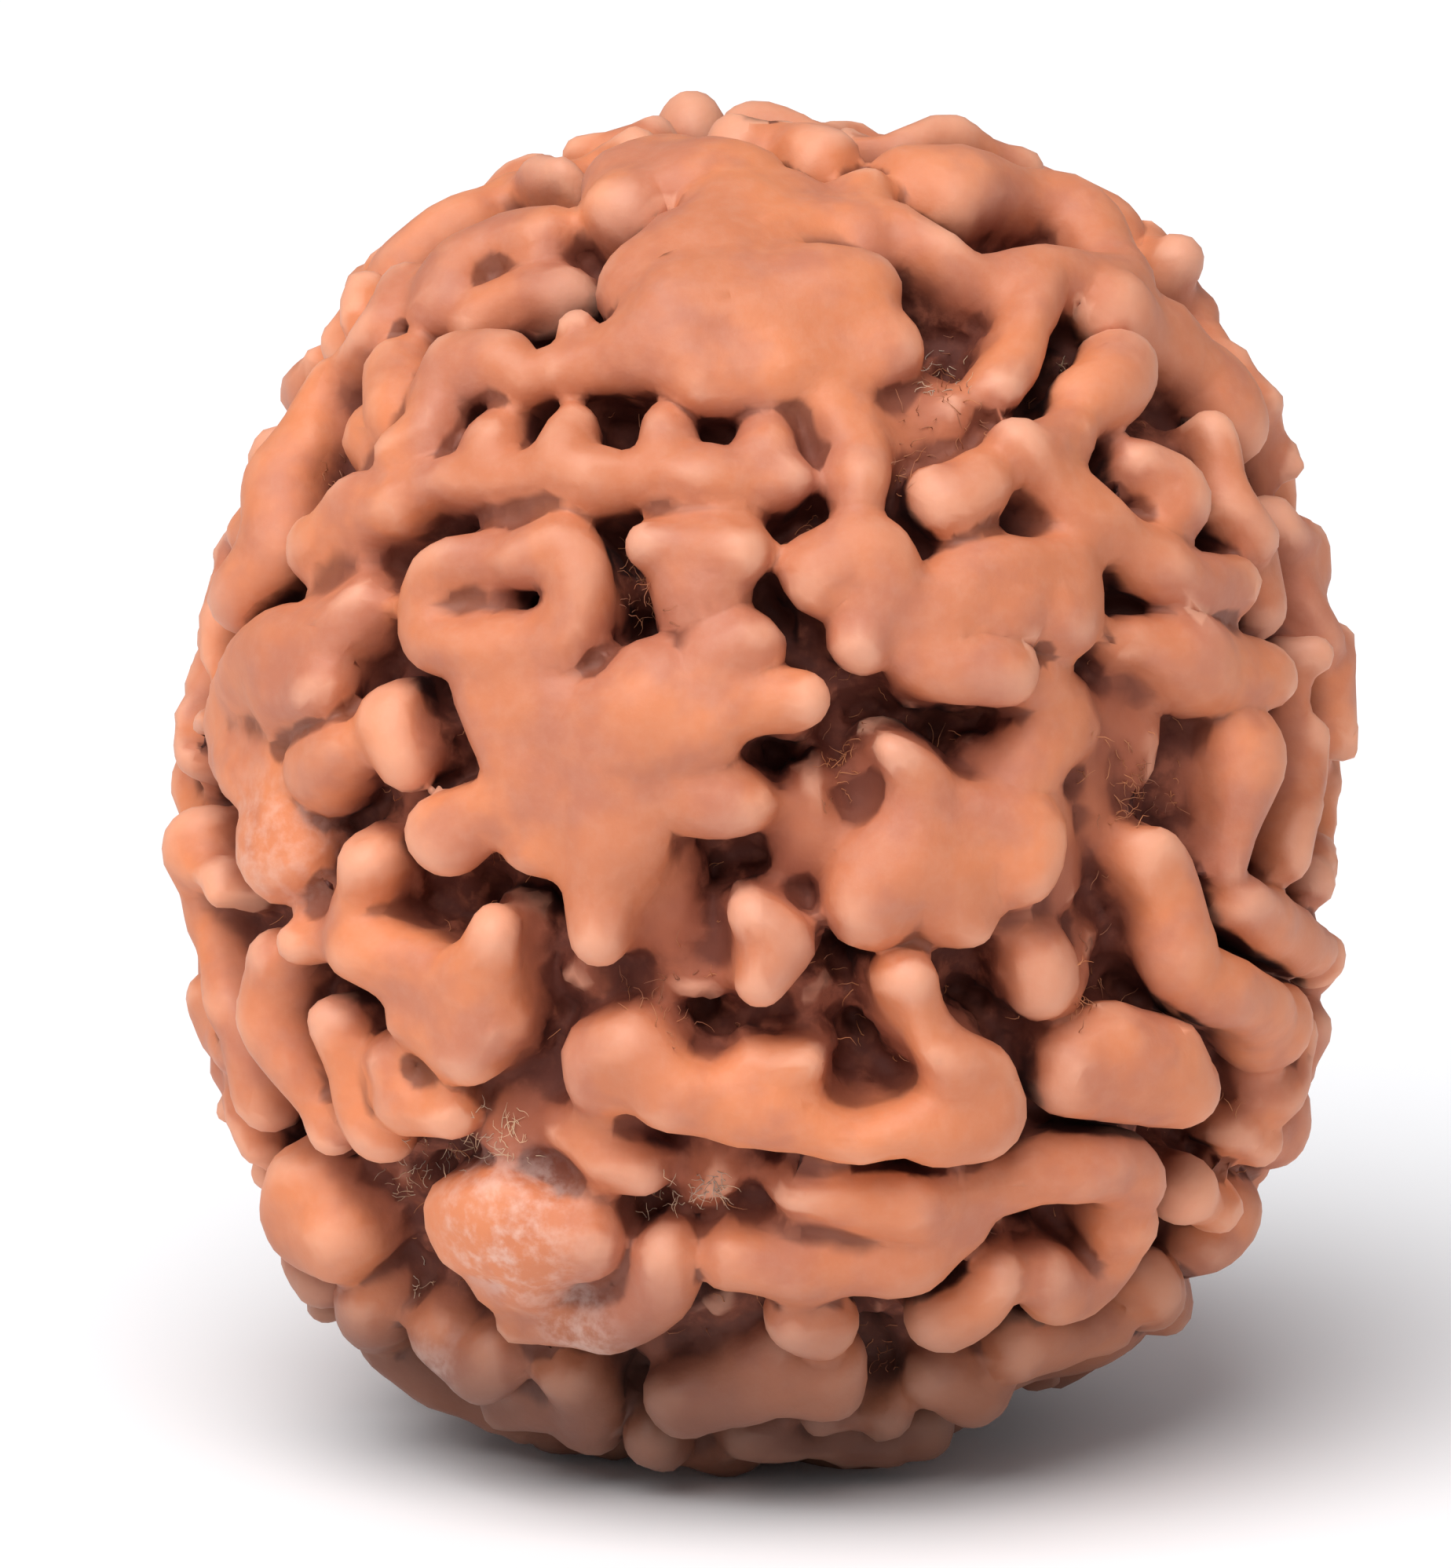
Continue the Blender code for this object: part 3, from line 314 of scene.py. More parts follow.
    (-0.1, [(-4.4, -10.0, 0.35), (-3.4, -9.95, 0.5), (-2.6, -9.9, 0.55), (-2.0, -9.4, 0.45),
            (-1.75, -8.8, 0.35)]),
    (0.0, [(-5.9, -10.3, 0.55), (-5.4, -10.7, 0.55), (-4.8, -10.6, 0.4)]),
    (0.0, [(-7.1, -9.5, 0.4), (-7.0, -10.2, 0.42), (-6.4, -10.8, 0.4), (-5.6, -11.3, 0.38),
           (-4.9, -11.5, 0.34)]),
    # shelves under the great lower lobe
    (-0.05, [(0.7, -7.6, 0.45), (1.8, -7.7, 0.45), (3.0, -7.8, 0.55), (4.2, -7.7, 0.6),
             (5.3, -7.3, 0.55), (6.4, -7.1, 0.55), (6.9, -7.3, 0.45)]),
    (-0.05, [(-0.4, -8.8, 0.5), (0.7, -8.9, 0.5), (1.8, -8.9, 0.5), (2.8, -8.7, 0.55),
             (3.8, -8.2, 0.55)]),
    (0.0, [(6.7, -8.0, 0.36), (6.4, -8.8, 0.36), (5.8, -9.3, 0.42), (5.1, -9.1, 0.36)]),
    (0.05, [(3.4, -9.9, 0.45), (4.0, -9.6, 0.45), (4.4, -9.1, 0.36)]),
    (-0.1, [(0.7, -9.8, 0.26), (1.2, -10.0, 0.36)]),
    # lower right edge
    (0.0, [(10.2, -4.6, 0.42), (9.8, -5.2, 0.38)]),
    (0.0, [(9.5, -5.9, 0.42), (9.5, -6.4, 0.36), (8.9, -6.5, 0.36)]),
    (0.0, [(8.0, -7.6, 0.45), (8.8, -7.9, 0.42), (8.1, -8.4, 0.45)]),
    (0.0, [(7.1, -9.3, 0.42), (7.4, -9.5, 0.34)]),
    (0.0, [(6.3, -10.0, 0.38), (5.6, -10.3, 0.42), (4.8, -10.4, 0.42)]),
    # underside as the front shows it
    (0.0, [(3.4, -11.0, 0.5), (4.0, -11.1, 0.42)]),
    (0.0, [(-1.3, -11.4, 0.65), (-0.5, -11.3, 0.65), (0.3, -11.0, 0.65), (1.1, -11.2, 0.55),
           (1.2, -10.8, 0.45)]),
    (0.0, [(-3.6, -10.9, 0.42), (-3.3, -11.4, 0.48), (-3.2, -11.8, 0.4)]),
    (0.0, [(3.0, -11.8, 0.5)]),
]

# The deepest pits of the front, as (across, up, reach) in mm
FRONT_PITS = [
    (1.3, 11.1, 0.3), (3.9, 10.0, 0.6), (2.8, 9.3, 0.4), (4.0, 8.5, 0.5), (5.7, 8.3, 0.4),
    (-4.0, 8.6, 1.0), (-2.8, 6.7, 0.4), (-1.0, 6.5, 0.4), (-2.4, 7.1, 0.3), (6.4, 5.8, 0.3),
    (-2.6, 4.8, 0.35), (0.3, 3.8, 0.35), (-2.2, 3.3, 0.6), (-4.5, 3.0, 0.5), (-3.2, 2.0, 0.3),
    (2.5, 1.5, 0.6), (3.6, 0.9, 0.6), (0.2, 0.6, 0.4), (-5.7, -2.4, 0.6), (-3.9, -2.2, 0.4),
    (-1.3, -1.9, 0.45), (0.8, -1.8, 0.35), (1.8, -3.4, 0.6), (-1.1, -4.6, 0.4), (2.2, -5.2, 0.5),
    (4.4, -4.6, 0.5), (5.8, -8.2, 0.45), (8.1, -7.2, 0.3), (-6.6, -8.1, 0.4), (-6.1, -9.2, 0.4),
    (-2.1, -8.8, 0.3), (-1.0, -9.9, 0.4), (2.2, -11.0, 0.35),
]

# Rises of the front's floor, as (across, up, reach, rise) in mm
FRONT_MOUNDS = [
    (-1.4, -3.6, 1.1, 0.6), (0.9, -4.4, 0.8, 0.4), (-7.1, 6.1, 0.9, 0.6), (3.5, 7.4, 1.2, 1.1),
    (6.6, 0.2, 1.3, 0.9), (6.5, -2.6, 0.9, 0.6), (-4.9, -6.5, 1.2, 1.0), (-0.9, -7.6, 0.8, 0.8),
    (5.9, -4.2, 0.8, 0.6), (8.6, 0.8, 0.8, 0.6), (-3.4, -3.8, 0.9, 0.4), (-2.0, -10.6, 1.0, 0.5),
    (2.5, 6.3, 0.9, 0.7), (7.6, 6.8, 1.0, 0.6), (-7.3, -0.4, 0.8, 0.5), (5.2, 5.0, 0.6, 0.6),
]


def heading(azimuth, elevation):
    """Unit vector at an azimuth from the front and an elevation, in degrees."""
    a = math.radians(azimuth)
    e = math.radians(elevation)
    return Vector((math.sin(a) * math.cos(e), -math.cos(a) * math.cos(e), math.sin(e)))


def outer_radius(direction):
    """Distance from the centre to the outer form."""
    across = math.hypot(direction.x, direction.y) / HALF_WIDTH
    along = abs(direction.z) / HALF_HEIGHT
    radius = (across ** SQUARENESS + along ** SQUARENESS) ** (-1 / SQUARENESS)
    for azimuth, elevation, rise, reach in SWELLS:
        angle = math.degrees(direction.angle(heading(azimuth, elevation)))
        radius += rise * MM * math.exp(-((angle / reach) ** 2))
    return radius


def cap_radius(direction):
    """Distance from the centre to the middle of a ridge's cap."""
    return outer_radius(direction) - CAP_HALF_DEPTH


def on_caps(direction):
    """The point on the caps' middle surface in a direction."""
    return CENTRE + direction * cap_radius(direction)


def outward(point):
    """Outward normal of the outer form at a point near it."""
    p = point - CENTRE
    power = SQUARENESS - 1
    across = math.hypot(p.x, p.y)
    pull = across ** (power - 1) / HALF_WIDTH ** SQUARENESS
    rise = math.copysign(abs(p.z) ** power / HALF_HEIGHT ** SQUARENESS, p.z)
    return Vector((p.x * pull, p.y * pull, rise)).normalized()


def seen_at(across, up):
    """Where the eye's ray through a point of the view plane, in mm, meets the caps' surface."""
    eye = CENTRE + VIEW_BACK * VIEW_DISTANCE
    aim = CENTRE + (VIEW_RIGHT * across + VIEW_UP * up) * MM
    ray = (aim - eye).normalized()
    nearest = eye + ray * (CENTRE - eye).dot(ray)
    inner = 0.0
    outer = 1.5 * HALF_HEIGHT
    for _ in range(30):
        middle = (inner + outer) / 2
        p = nearest - ray * middle - CENTRE
        if p.length > cap_radius(p.normalized()):
            outer = middle
        else:
            inner = middle
    return nearest - ray * inner


def along_curve(knots, step_share):
    """Samples of a smooth curve through knots of (place, half width), closer where it is narrow."""
    if len(knots) == 1:
        return list(knots)
    ends = [knots[0]] + knots + [knots[-1]]
    samples = []
    for before, start, end, after in zip(ends, ends[1:], ends[2:], ends[3:]):
        length = (end[0] - start[0]).length
        steps = max(1, round(length / (step_share * min(start[1], end[1]))))
        for i in range(steps):
            t = i / steps
            place = spline(before[0], start[0], end[0], after[0], t)
            half_width = start[1] + (end[1] - start[1]) * t
            samples.append((place, half_width))
    samples.append(knots[-1])
    return samples


def spline(before, start, end, after, t):
    """A point of the Catmull-Rom curve between start and end."""
    bend = (before * 2 - start * 5 + end * 4 - after) * t * t
    twist = (start * 3 - before - end * 3 + after) * t * t * t
    return (start * 2 + (end - before) * t + bend + twist) / 2


def front_ridges():
    """The front's ridges, each as a lift and samples of (place, half width)."""
    ridges = []
    for lift, drawn in FRONT_RIDGES:
        knots = [(Vector((across, up, sum(rise))), half_width) for across, up, half_width, *rise in drawn]
        samples = []
        for spot, half_width in along_curve(knots, STEP_SHARE):
            place = seen_at(spot.x, spot.y)
            place += outward(place) * spot.z * MM
            samples.append((place, half_width * MM + FRONT_SWELL))
        ridges.append((lift * MM, samples))
    return ridges


def grow_ridges(taken, rng):
    """Ridges that each wind on from a free spot until they are long enough or meet a neighbour."""

    def room_at(direction):
        if direction.dot(VIEW_BACK) > FRONT_LIMIT:
            return -1.0
        return min(taken.clearance(on_caps(direction)), off_seams(direction))

    def wander(direction, bearing, bend, half_width, length, joins):
        arm = []
        for i in range(int(length / GROWTH_STEP)):
            east = Vector((0, 0, 1)).cross(direction).normalized()
            north = direction.cross(east)
            stride = (east * math.cos(bearing) + north * math.sin(bearing)) * GROWTH_STEP
            direction = (direction * cap_radius(direction) + stride).normalized()
            bearing += bend * rng.uniform(0, 1)
            bulged = half_width * (1 + BULGE_SHARE * math.sin(BULGE_PITCH * i + bearing))
            width_here = max(HALF_WIDTHS[0], bulged)
            room = room_at(direction)
            if room < 0 or (not joins and room < width_here + GAP):
                break
            arm.append((on_caps(direction), width_here))
        return arm

    ridges = []
    for _ in range(GROWTH_TRIES):
        direction = Vector((rng.gauss(0, 1), rng.gauss(0, 1), rng.gauss(0, 1))).normalized()
        half_width = min(rng.uniform(*HALF_WIDTHS), room_at(direction) - GAP)
        if half_width < HALF_WIDTHS[0]:
            continue
        bearing = rng.uniform(0, math.tau)
        bend = rng.uniform(-BEND, BEND)
        length = rng.uniform(*LENGTHS) / 2
        one_way = wander(direction, bearing, bend, half_width, length, rng.random() < JOINING_SHARE)
        other_way = wander(direction, bearing + math.pi, -bend, half_width, length, False)
        samples = other_way[::-1] + [(on_caps(direction), half_width)] + one_way
        ridges.append((rng.uniform(*LIFTS), samples))
        for place, width in samples:
            taken.add(place, width)
    return ridges


def off_seams(direction):
    """Distance along the surface to the nearest seam or to a pole's pit."""
    across = math.hypot(direction.x, direction.y) * cap_radius(direction)
    room = across - MOUTH_RADIUS - MOUTH_CLEARANCE
    azimuth = math.degrees(math.atan2(direction.x, -direction.y))
    for seam in SEAM_AZIMUTHS:
        sway = SEAM_SWAY * math.sin(SEAM_PITCH * direction.z + seam)
        offset = math.radians((azimuth - seam - sway + 180) % 360 - 180)
        room = min(room, abs(offset) * across - SEAM_HALF_WIDTH)
    return room


class Crowd:
    """Placed samples in cells of a grid, to find the room left between ridges."""

    CELL = 2.2 * MM

    def __init__(self, samples):
        self.cells = {}
        for place, half_width in samples:
            self.add(place, half_width)

    def add(self, place, half_width):
        self.cells.setdefault(self.cell(place), []).append((place, half_width))

    def cell(self, place):
        return tuple(math.floor(c / self.CELL) for c in place)

    def clearance(self, place):
        """Distance from a place to the nearest ridge's side."""
        x, y, z = self.cell(place)
        room = self.CELL
        for i in range(x - 1, x + 2):
            for j in range(y - 1, y + 2):
                for k in range(z - 1, z + 2):
                    for other, half_width in self.cells.get((i, j, k), ()):
                        room = min(room, (other - place).length - half_width)
        return room


def ridge_ends(samples):
    """Places of a ridge's two ends, or its only place."""
    ends = [samples[0], samples[-1]] if len(samples) > 1 else samples
    return [place for place, _ in ends]


def nearest(spot, samples):
    """The place among samples that is nearest to a spot."""
    return min((place for place, _ in samples), key=lambda place: (place - spot).length_squared)


def bridges(grown, ridges, rng):
    """Low saddles from each grown ridge's ends to the ridges nearest to them."""
    made = []
    for own in grown:
        for start in ridge_ends(own[1]):
            goals = [nearest(start, other[1]) for other in ridges if other is not own]
            goals.sort(key=lambda place: (place - start).length_squared)
            for goal in goals[:BRIDGES_PER_END]:
                half_width = rng.uniform(*BRIDGE_HALF_WIDTHS)
                lift = rng.uniform(*BRIDGE_LIFTS)
                arms = [start.lerp(goal, i / (BRIDGE_SPOTS - 1)) - CENTRE for i in range(BRIDGE_SPOTS)]
                ways = [arm.normalized() for arm in arms]
                near = (goal - start).length < BRIDGE_REACH
                if near and min(off_seams(way) for way in ways) > 0:
                    made.append((lift, [(on_caps(way), half_width) for way in ways]))
    return made


def all_ridges():
    """The front's drawn ridges, those grown round them, and the low bridges between these."""
    drawn = front_ridges()
    taken = Crowd([sample for _, samples in drawn for sample in samples])
    grown = grow_ridges(taken, random.Random(SEED))
    return drawn + grown + bridges(grown, drawn + grown, random.Random(SEED + 2))


def add_block(form, middle, turn, half_sizes, flatness):
    """A ball with squared shoulders, turned and placed."""
    made = bmesh.ops.create_icosphere(form, subdivisions=2, radius=1)
    matrix = Matrix.Translation(middle) @ turn @ Matrix.Diagonal((*half_sizes, 1))
    for vertex in made["verts"]:
        x, y, z = vertex.co
        across = math.hypot(x, y)
        reach = (across ** flatness + abs(z) ** flatness) ** (-1 / flatness)
        vertex.co = matrix @ (vertex.co * reach)


def add_ridge(into, lift, samples):
    """Lay a ridge into a bmesh: a cap and its flanks at each sample."""
    ridge = bmesh.new()
    for place, half_width in samples:
        lump = noise.noise(place / LUMP_LENGTH)
        half_width *= 1 + LUMP_SHARE * noise.noise(place / LUMP_LENGTH + LUMP_SHIFT)
        normal = outward(place)
        turn = normal.to_track_quat("Z", "Y").to_matrix().to_4x4()
        cap_depth = min(DOME_DEPTH, CAP_DEPTH_SHARE * half_width)
        top = place + normal * (CAP_HALF_DEPTH + lift + lump * LUMP_RISE)
        cap_middle = top - normal * cap_depth
        flank_middle = top - normal * (CAP_HALF_DEPTH + FLANK_DEPTH)
        foot = half_width - FLANK_DRAW
        add_block(ridge, cap_middle, turn, (half_width, half_width, cap_depth), CAP_FLATNESS)
        add_block(ridge, flank_middle, turn, (foot, foot, FLANK_HALF_DEPTH), FLANK_FLATNESS)
    mesh = bpy.data.meshes.new("ridge")
    ridge.to_mesh(mesh)
    ridge.free()
    into.from_mesh(mesh)
    bpy.data.meshes.remove(mesh)


def add_floor(into):
    """The stone under the ridges, whose surface is the floor of the furrows."""
    forms = [(seen_at(across, up), reach * MM, -PIT_DEPTH) for across, up, reach in FRONT_PITS]
    forms += [(seen_at(across, up), reach * MM, rise * MM) for across, up, reach, rise in FRONT_MOUNDS]
    made = bmesh.ops.create_icosphere(into, subdivisions=7, radius=1)
    for vertex in made["verts"]:
        direction = vertex.co.normalized()
        place = on_caps(direction)
        depth = FLOOR_DEPTH + noise.noise(direction * FLOOR_WAVE_COUNT) * FLOOR_WAVES
        for spot, reach, rise in forms:
            depth -= rise * math.exp(-((place - spot).length / reach) ** 2)
        vertex.co = CENTRE + direction * (outer_radius(direction) - depth)


def fuse(bead):
    """One closed surface over floor and ridges, smoothed and freed of sealed scraps."""
    remesh = bead.modifiers.new("Fuse", "REMESH")
    remesh.mode = "VOXEL"
    remesh.voxel_size = FUSE_GRAIN
    smooth = bead.modifiers.new("Smooth", "SMOOTH")
    smooth.factor = 0.5
    smooth.iterations = SMOOTHING
    apply_modifiers(bead)
    drop_scraps(bead.data)


def apply_modifiers(thing):
    shown = thing.evaluated_get(bpy.context.evaluated_depsgraph_get())
    thing.data = bpy.data.meshes.new_from_object(shown)
    thing.modifiers.clear()


def drop_scraps(mesh):
    """Keep only the largest connected body of a mesh."""
    form = bmesh.new()
    form.from_mesh(mesh)
    unseen = set(form.verts)
    bodies = []
    while unseen:
        body = []
        to_visit = [unseen.pop()]
        while to_visit:
            vertex = to_visit.pop()
            body.append(vertex)
            for edge in vertex.link_edges:
                other = edge.other_vert(vertex)
                if other in unseen:
                    unseen.remove(other)
                    to_visit.append(other)
        bodies.append(body)
    bodies.sort(key=len)
    scraps = [vertex for body in bodies[:-1] for vertex in body]
    bmesh.ops.delete(form, geom=scraps, context="VERTS")
    form.to_mesh(mesh)
    form.free()


def vertex_places(mesh):
    """The places of a mesh's vertices, as rows of three numbers."""
    values = np.empty(len(mesh.vertices) * 3)
    mesh.vertices.foreach_get("co", values)
    return values.reshape(-1, 3)


def vertex_normals(mesh):
    """The normals at a mesh's vertices, as rows of three numbers."""
    values = np.empty(len(mesh.vertices) * 3)
    mesh.vertex_normals.foreach_get("vector", values)
    return values.reshape(-1, 3)


def wave(place, height, length):
    """A smooth random rise and fall of about a height, over a length."""
    return noise.noise(place / length) * height


def roughen(mesh):
    """Low waves on the tops, and crumbs on the floors of the furrows."""
    for vertex, normal in zip(mesh.vertices, vertex_normals(mesh)):
        p = vertex.co
        arm = p - CENTRE
        depth = (outer_radius(arm.normalized()) - arm.length) / FLOOR_DEPTH
        deep = min(1.0, max(0.0, (depth - CRUMBS_FROM) / CRUMBS_OVER))
        fine = noise.noise(p / CRUMBS[1] * FINE_CRUMB_PITCH) * CRUMBS[0] * FINE_CRUMB_SHARE
        rise = wave(p, *SWELL_WAVES) * (1 - deep)
        rise += wave(p, *WAVES)
        rise += wave(p, *CRUMBS) * (CRUMBS_ON_TOPS + deep)
        rise += fine * (FINE_CRUMBS_ON_TOPS + deep)
        vertex.co = p + Vector(normal) * rise
    mesh.update()


def reduce_facets(bead):
    """Thin the surface to the facets wanted."""
    triangles = sum(len(face.vertices) - 2 for face in bead.data.polygons)
    facets = bead.modifiers.new("Facets", "DECIMATE")
    facets.ratio = min(1.0, FACETS / triangles)
    facets.use_collapse_triangulate = True
    apply_modifiers(bead)


def cut(bead, name, mesh_maker):
    """Take a helper form away from the bead, then the helper."""
    form = bmesh.new()
    mesh_maker(form)
    mesh = bpy.data.meshes.new(name)
    form.to_mesh(mesh)
    form.free()
    cutter = bpy.data.objects.new(name, mesh)
    bpy.context.collection.objects.link(cutter)
    modifier = bead.modifiers.new(name, "BOOLEAN")
    modifier.operation = "DIFFERENCE"
    modifier.object = cutter
    apply_modifiers(bead)
    bpy.data.objects.remove(cutter)


def mouths(form):
    """The pits at the poles, ringed so that their walls can change tone on the way down."""
    for side in (-1, 1):
        pole = CENTRE + Vector((0, 0, side * HALF_HEIGHT))
        bmesh.ops.create_cone(
            form, cap_ends=True, segments=48, radius1=MOUTH_RADIUS, radius2=MOUTH_RADIUS,
            depth=2 * MOUTH_DEPTH, matrix=Matrix.Translation(pole),
        )
    walls = [edge for edge in form.edges if abs(edge.verts[0].co.z - edge.verts[1].co.z) > MOUTH_DEPTH]
    bmesh.ops.subdivide_edges(form, edges=walls, cuts=MOUTH_RINGS, use_grid_fill=True)


def ground(form):
    """All that is under the surface on which the bead rests."""
    size = 4 * HALF_HEIGHT
    bmesh.ops.create_cube(form, size=size, matrix=Matrix.Translation((0, 0, -size / 2)))


def bend_at_edges(mesh, places, normals):
    """How convex the surface is at each vertex, evened out over its neighbours, in units of 1 / mm."""
    ends = np.empty(len(mesh.edges) * 2, dtype=np.int64)
    mesh.edges.foreach_get("vertices", ends)
    first, second = ends.reshape(-1, 2).T
    step = places[second] - places[first]
    length2 = np.maximum((step ** 2).sum(1), 1e-12)
    turn = ((normals[second] - normals[first]) * step).sum(1) / length2
    count = np.bincount(first, minlength=len(places)) + np.bincount(second, minlength=len(places))
    bend = (np.bincount(first, turn, len(places)) + np.bincount(second, turn, len(places))) / count
    for _ in range(EDGE_EVENING):
        around = np.bincount(first, bend[second], len(places))
        around += np.bincount(second, bend[first], len(places))
        bend = (bend + around / count) / 2
    return bend * MM


def any_way(rng):
    """A random vector, alike in all directions."""
    return Vector((rng.gauss(0, 1), rng.gauss(0, 1), rng.gauss(0, 1)))


def surface_tree(mesh):
    """A tree in which rays find the mesh's surface."""
    form = bmesh.new()
    form.from_mesh(mesh)
    tree = BVHTree.FromBMesh(form)
    form.free()
    return tree


def mark_relief(mesh):
    """Attributes for the finish: depth under the outer form in mm, openness and convexity."""
    places = vertex_places(mesh)
    normals = vertex_normals(mesh)
    tree = surface_tree(mesh)
    rng = random.Random(SEED)
    rays = [any_way(rng).normalized() for _ in range(OPEN_RAYS)]
    depths = np.empty(len(places))
    opens = np.empty(len(places))
    for i, (place, normal) in enumerate(zip(places, normals)):
        place = Vector(place)
        normal = Vector(normal)
        arm = place - CENTRE
        depths[i] = (outer_radius(arm.normalized()) - arm.length) / MM
        start = place + normal * OPEN_START
        free = 0.0
        for ray in rays:
            way = (ray + normal).normalized()
            hit = tree.ray_cast(start, way, OPEN_REACH)
            free += 1.0 if hit[0] is None else hit[3] / OPEN_REACH
        opens[i] = free / len(rays)
    marks = {"depth": depths, "open": opens, "edge": bend_at_edges(mesh, places, normals)}
    for name, values in marks.items():
        attribute = mesh.attributes.new(name, "FLOAT", "POINT")
        attribute.data.foreach_set("value", values.astype(np.float32))


class Number:
    """A number socket of a material, with arithmetic that adds Math nodes."""

    def __init__(self, finish, socket):
        self.finish = finish
        self.socket = socket

    def joined(self, operation, first, second):
        return self.finish.node("ShaderNodeMath", {"operation": operation}, {0: first, 1: second})

    def __add__(self, other):
        return self.joined("ADD", self, other)

    __radd__ = __add__

    def __mul__(self, other):
        return self.joined("MULTIPLY", self, other)

    __rmul__ = __mul__

    def __sub__(self, other):
        return self.joined("SUBTRACT", self, other)

    def __rsub__(self, other):
        return self.joined("SUBTRACT", other, self)


class Finish:
    """A material's nodes, added one call at a time."""

    def __init__(self, name):
        self.material = bpy.data.materials.new(name)
        self.material.use_nodes = True
        self.tree = self.material.node_tree
        self.shader = self.tree.nodes["Principled BSDF"]

    def node(self, kind, settings, values, result=0):
        """A node of a kind: its settings first, then its sockets. Gives back one of its results."""
        made = self.tree.nodes.new(kind)
        for name, value in settings.items():
            setattr(made, name, value)
        for key, value in values.items():
            self.feed(socket_of(made.inputs, key), value)
        return Number(self, socket_of(made.outputs, result))

    def feed(self, socket, value):
        """Link a number's socket to another socket, or set a plain value there."""
        if isinstance(value, Number):
            self.tree.links.new(value.socket, socket)
        else:
            socket.default_value = value

    def set(self, **values):
        """Set the shader's own sockets, by names with underscores."""
        for name, value in values.items():
            self.feed(self.shader.inputs[name.replace("_", " ")], value)

    def place(self):
        return self.node("ShaderNodeTexCoord", {}, {}, "Object")

    def attribute(self, name):
        return self.node("ShaderNodeAttribute", {"attribute_name": name}, {}, "Fac")

    def noise(self, place, wavelength, detail=2.0, roughness=0.5):
        values = {"Vector": place, "Scale": 1 / wavelength, "Detail": detail, "Roughness": roughness}
        return self.node("ShaderNodeTexNoise", {}, values, "Fac")

    def between(self, value, low, high):
        """0 at or under low, 1 at or over high, and smooth between them."""
        settings = {"interpolation_type": "SMOOTHSTEP"}
        values = {"Value": value, "From Min": low, "From Max": high}
        return self.node("ShaderNodeMapRange", settings, values, "Result")

    def distance(self, place, spot):
        values = {0: place, 1: spot}
        return self.node("ShaderNodeVectorMath", {"operation": "DISTANCE"}, values, "Value")

    def height(self, place):
        return self.node("ShaderNodeSeparateXYZ", {}, {0: place}, "Z")

    def mix(self, share, first, second):
        """A colour between two."""
        values = {"Factor_Float": share, "A_Color": first, "B_Color": second}
        return self.node("ShaderNodeMix", {"data_type": "RGBA"}, values, "Result_Color")


def socket_of(sockets, key):
    """A socket by its place in the list, its identifier or its name."""
    if isinstance(key, int):
        return sockets[key]
    for socket in sockets:
        if socket.identifier == key:
            return socket
    return sockets[key]


def to_linear(value):
    return value / 12.92 if value < 0.04045 else ((value + 0.055) / 1.055) ** 2.4


def shade(red, green, blue):
    """A colour given as it looks on a screen, 0 to 255, in the linear values that a shader takes."""
    return (to_linear(red / 255), to_linear(green / 255), to_linear(blue / 255), 1.0)


TOP = shade(200, 120, 83)
WARM = shade(216, 130, 86)
DUSTY = shade(176, 108, 88)
# Dark grey-brown towards the bottom: painted shade
LOW_SHADE = shade(80, 50, 40)
# Red-brown of the ridges' flanks: painted shade
SIDE_SHADE = shade(146, 76, 52)
# Dark red-brown of the furrows and creases: painted shade
FURROW_SHADE = shade(90, 38, 25)
TISSUE = shade(142, 78, 57)
# Black-brown of the pits: painted shade
PIT_SHADE = shade(46, 10, 5)
BLOOM = shade(222, 178, 156)
# Pale colour of the rims: painted highlight
RIM_HIGHLIGHT = shade(240, 180, 150)
PALE = shade(236, 214, 204)
STRAW = shade(226, 188, 152)
ASH = shade(170, 146, 130)
BARK = shade(146, 90, 64)
RUST = shade(196, 126, 82)

# Where a whitish bloom lies on the front, as (across, up, reach in mm, strength)
BLOOM_SPOTS = [
    (-4.5, -8.2, 2.0, 0.42), (-8.9, -1.0, 1.8, 0.2), (-3.2, -9.9, 1.2, 0.3), (-5.6, -10.6, 1.2, 0.3),
]
BLOOM_CORE = 0.3

# Wavelengths of the skin's patterns
BROAD = 5.0 * MM
PATCHES = 1.8 * MM
GRAIN = 0.35 * MM
FINEST = 0.12 * MM

# A tone sets in at its range's first value and reaches its share at the second.
# Painted shade of the flanks, and dried tissue under painted shade in the furrows, go by depth in mm;
# painted shade in the pits by openness; painted shade in the creases and painted highlights on the rims by
# convexity in 1 / mm; painted shade towards the bottom by height.
WARM_RANGE = (0.42, 0.62)
DUSTY_RANGE = (0.42, 0.66)
DUSTY_SHARE = 0.55
HAZE_RANGE = (0.35, 0.75)
HAZE_SHARE = 0.10
FLANK_SHADE_RANGE = (0.4, 1.2)
FLANK_SHADE_SHARE = 0.8
TISSUE_PATCHES = (0.42, 0.68)
TISSUE_AND_SHADE_RANGE = (0.4, 1.1)
TISSUE_AND_SHADE_SHARE = 0.92
PIT_SHADE_RANGE = (0.54, 0.28)
CREASE_SHADE_RANGE = (-0.25, -1.0)
CREASE_SHADE_SHARE = 0.68
RIM_HIGHLIGHT_RANGE = (0.5, 1.5)
RIM_HIGHLIGHT_SHARE = 0.5
LOW_SHADE_RANGE = (6.0 * MM, 1.5 * MM)
LOW_SHADE_SHARE = 0.8
LOW_SHADE_SWAY = 3 * MM
FLECK_RANGE = (0.62, 0.95)


